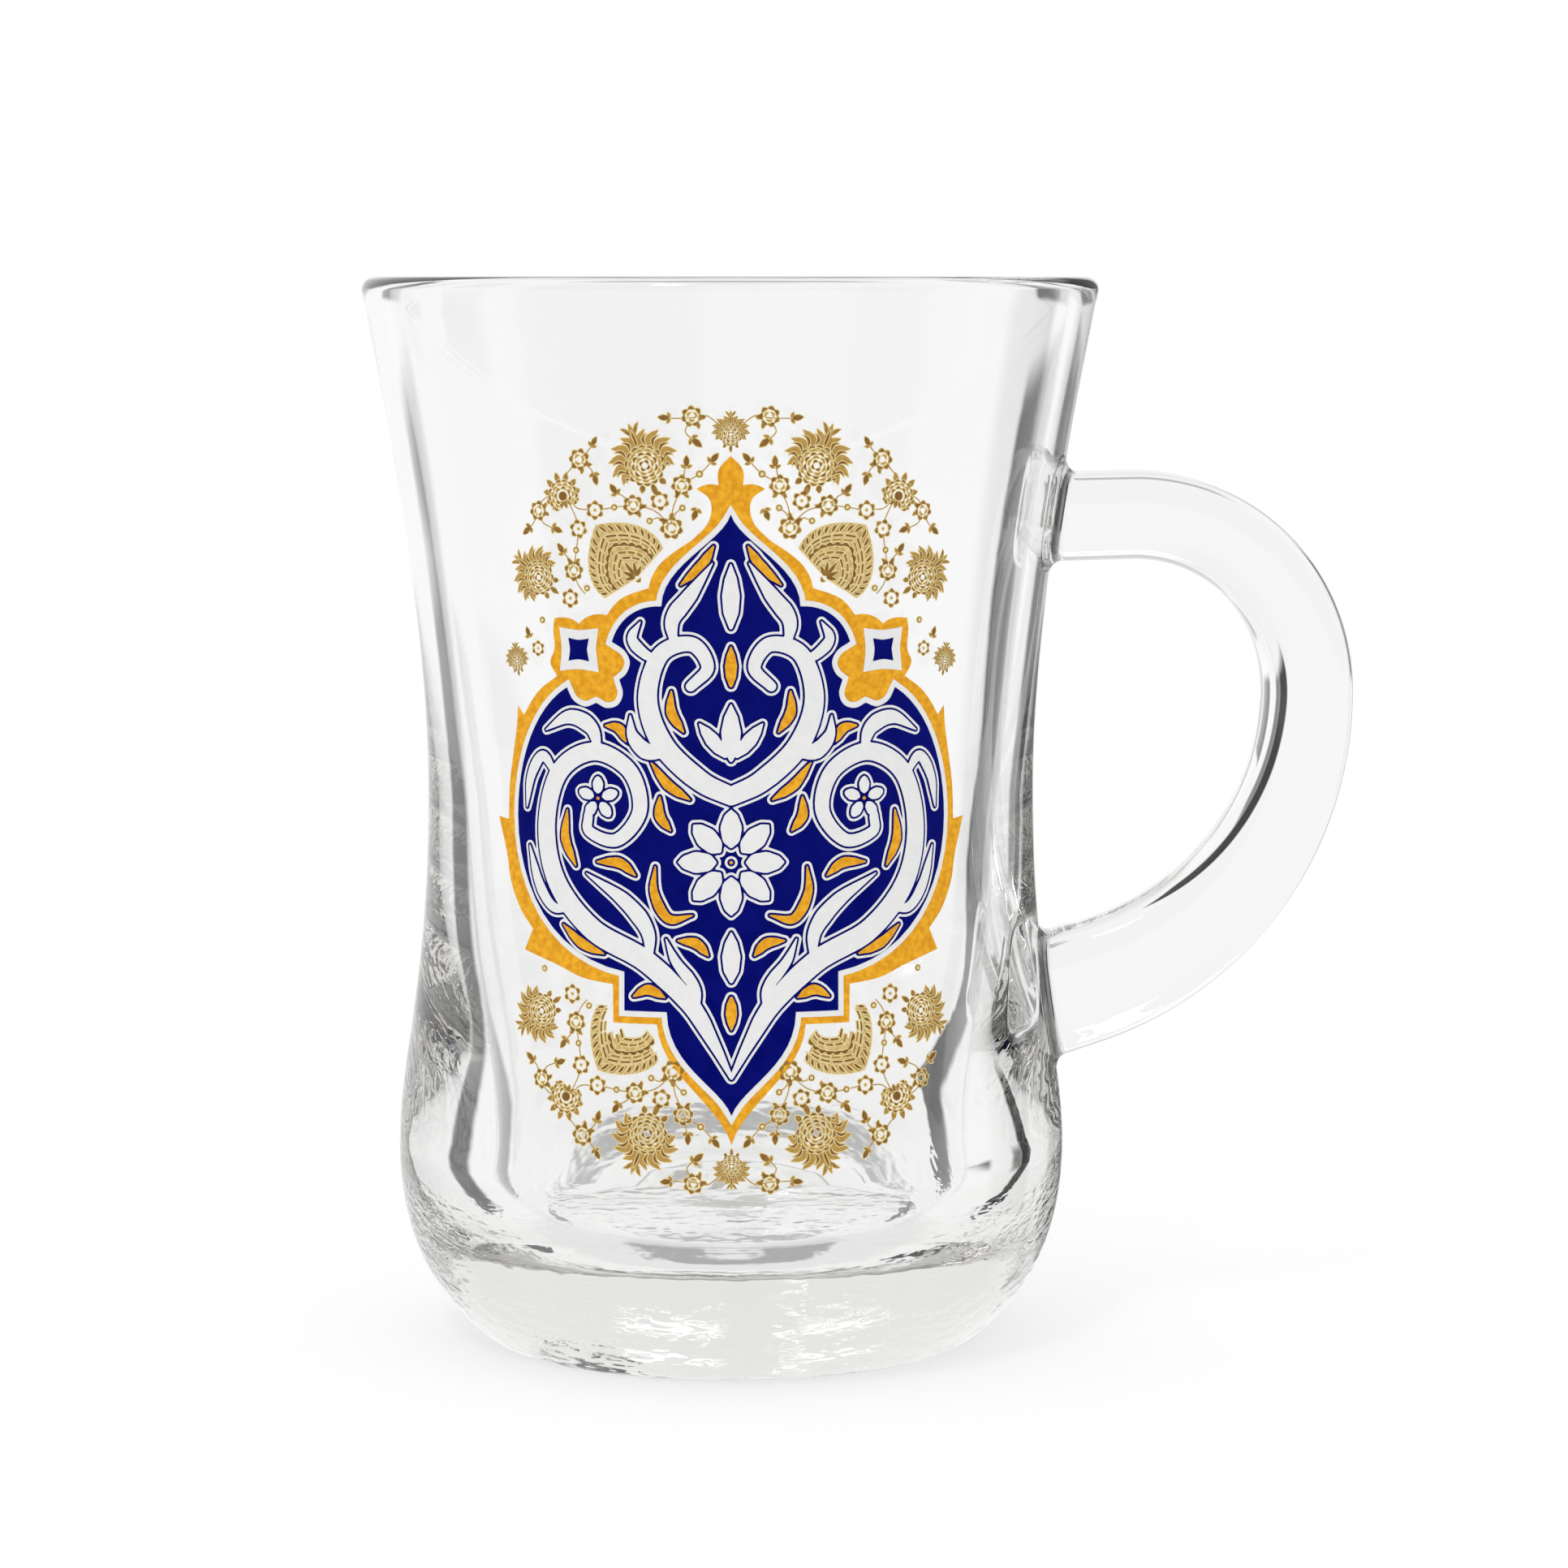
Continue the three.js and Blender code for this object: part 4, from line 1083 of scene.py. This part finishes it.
def fan_cells():
    cells = []
    for inner, outer in ((0.12, 0.33), (0.33, 0.54), (0.54, 0.76), (0.76, 0.98)):
        cells += fan_row(inner, outer, 6, 0, 0.72, 0, 0)
    cells += fan_row(0.82, 0.98, 9, 0.55, 0.6, 2)
    for i in range(9):
        stroke = leaf(fan_spot((i + 0.35) / 9, 0.84), fan_spot((i + 0.8) / 9, 0.96), 0.22, 0.05, 4)
        cells += both_sides(stroke, 4, BROWN)
    cells += fan_row(0.745, 0.78, 5, 0, 0.05, 2) + fan_row(0.665, 0.7, 5, 0, 0.3, 2)
    for i in range(6):
        stroke = leaf(fan_spot((i + 1.05) / 6, 0.58), fan_spot((i - 0.05) / 6, 0.58), 0.3, -0.14, 4)
        cells += both_sides(stroke, 2, BROWN)
    cells += fan_row(0.43, 0.475, 4, 0, 0.25, 2) + fan_row(0.34, 0.375, 3, 0, 0.05, 2)
    cells += [(fanned(FAN_HEART, angle, 0.15, reach, 0.3), 2, 0.1)
              for angle, reach in ((0, 1.6), (30, 1.3), (-30, 1.3), (62, 1.05), (-62, 1.05))]
    cells += [(scallop((x, 0.45 - 0.12 * abs(x)), 180, 0.3, 50, 0.24, 0.12), 0, 0.2)
              for x in (-2.3, -1.5, -0.75, 0, 0.75, 1.5, 2.3)]
    return cells


fan_films = Films()
fan_limit = [widened(border, FAN_CLEARANCE)]
for side, up in QUARTERS:
    lean = radians(FAN_LEAN) * side
    turn = np.array(((cos(lean), sin(lean)), (-sin(lean), cos(lean)))).T
    placed_cells = []
    for loop, level, tone in fan_cells():
        spot = (loop @ turn + np.array(FAN_PLACE) * (side, 1)) * (1, up)
        spot = spot[::up]
        if not within(spot, fan_limit).any():
            placed_cells.append((spot, level, tone))
    gold_cells(fan_films, placed_cells)
printed("gold_fans", fan_films, gold_enamel, "gold_enamel", *quarters("fan_palmette"))

STEMS = [
    [(0.9, 30.9), (2, 31.7), (3.15, 31.5), (5.2, 31.45)], [(3.3, 31.2), (3.7, 30.4), (3.1, 29.7)],
    [(1.5, 28), (2.55, 26.92), (3.9, 26.2)], [(3.7, 27.5), (3.9, 26.4)], [(4.1, 25.6), (4.7, 24.2), (4.9, 22.8)],
    [(4, 24.1), (4.5, 23.7), (4.9, 22.9)], [(5, 22.8), (6.3, 23.9), (7.8, 24.3)],
    [(5.1, 22.8), (5.9, 23.3), (6.69, 23.05)], [(8.3, 24.5), (9, 25.1), (9.6, 25.3)],
    [(8.4, 24.3), (9.71, 24.13), (11, 23.9)], [(11.9, 23.9), (13, 24), (13.8, 24.7)],
    [(13.9, 24.6), (13.3, 23.5), (13, 22.7)], [(12.97, 21.9), (13.1, 20.9), (13.4, 19.2)],
    [(14.4, 20.3), (13.9, 19.8), (13.5, 19.1)], [(13.4, 18.5), (13, 17.6), (12.4, 16.9)],
    [(11.6, 29.2), (12.1, 28.6), (12.6, 28.2)], [(12.6, 27.8), (11.8, 27.3), (11.5, 26.8)],
    [(13.1, 27.8), (13.7, 27.1), (14.1, 26.7)], [(15.4, 25.1), (16.3, 24.6), (16.7, 24)],
    [(16.9, 23.4), (17.3, 22.7), (17.8, 22.2)], [(16.7, 23.4), (16.3, 22.7), (15.4, 22.3)],
]
stem_films = Films()
for stem in STEMS:
    line = np.array([stem[0]] + through(stem, 5), float)
    along = np.gradient(line, axis=0)
    along /= np.linalg.norm(along, axis=1)[:, None]
    across = np.stack([along[:, 1], -along[:, 0]], 1) * STEM_HALF
    strip = np.vstack([line + across, line - across])
    count = len(line)
    quads = [[i, i + 1, count + i + 1, count + i] for i in range(count - 1)]
    for side, up in QUARTERS:
        faces = [quad[::side * up] for quad in quads]
        stem_films.add((strip * (side, up)).tolist(), faces, 0, GOLD_FILM, STEM_TONE)
printed("gold_stems", stem_films, gold_enamel, "gold_enamel")
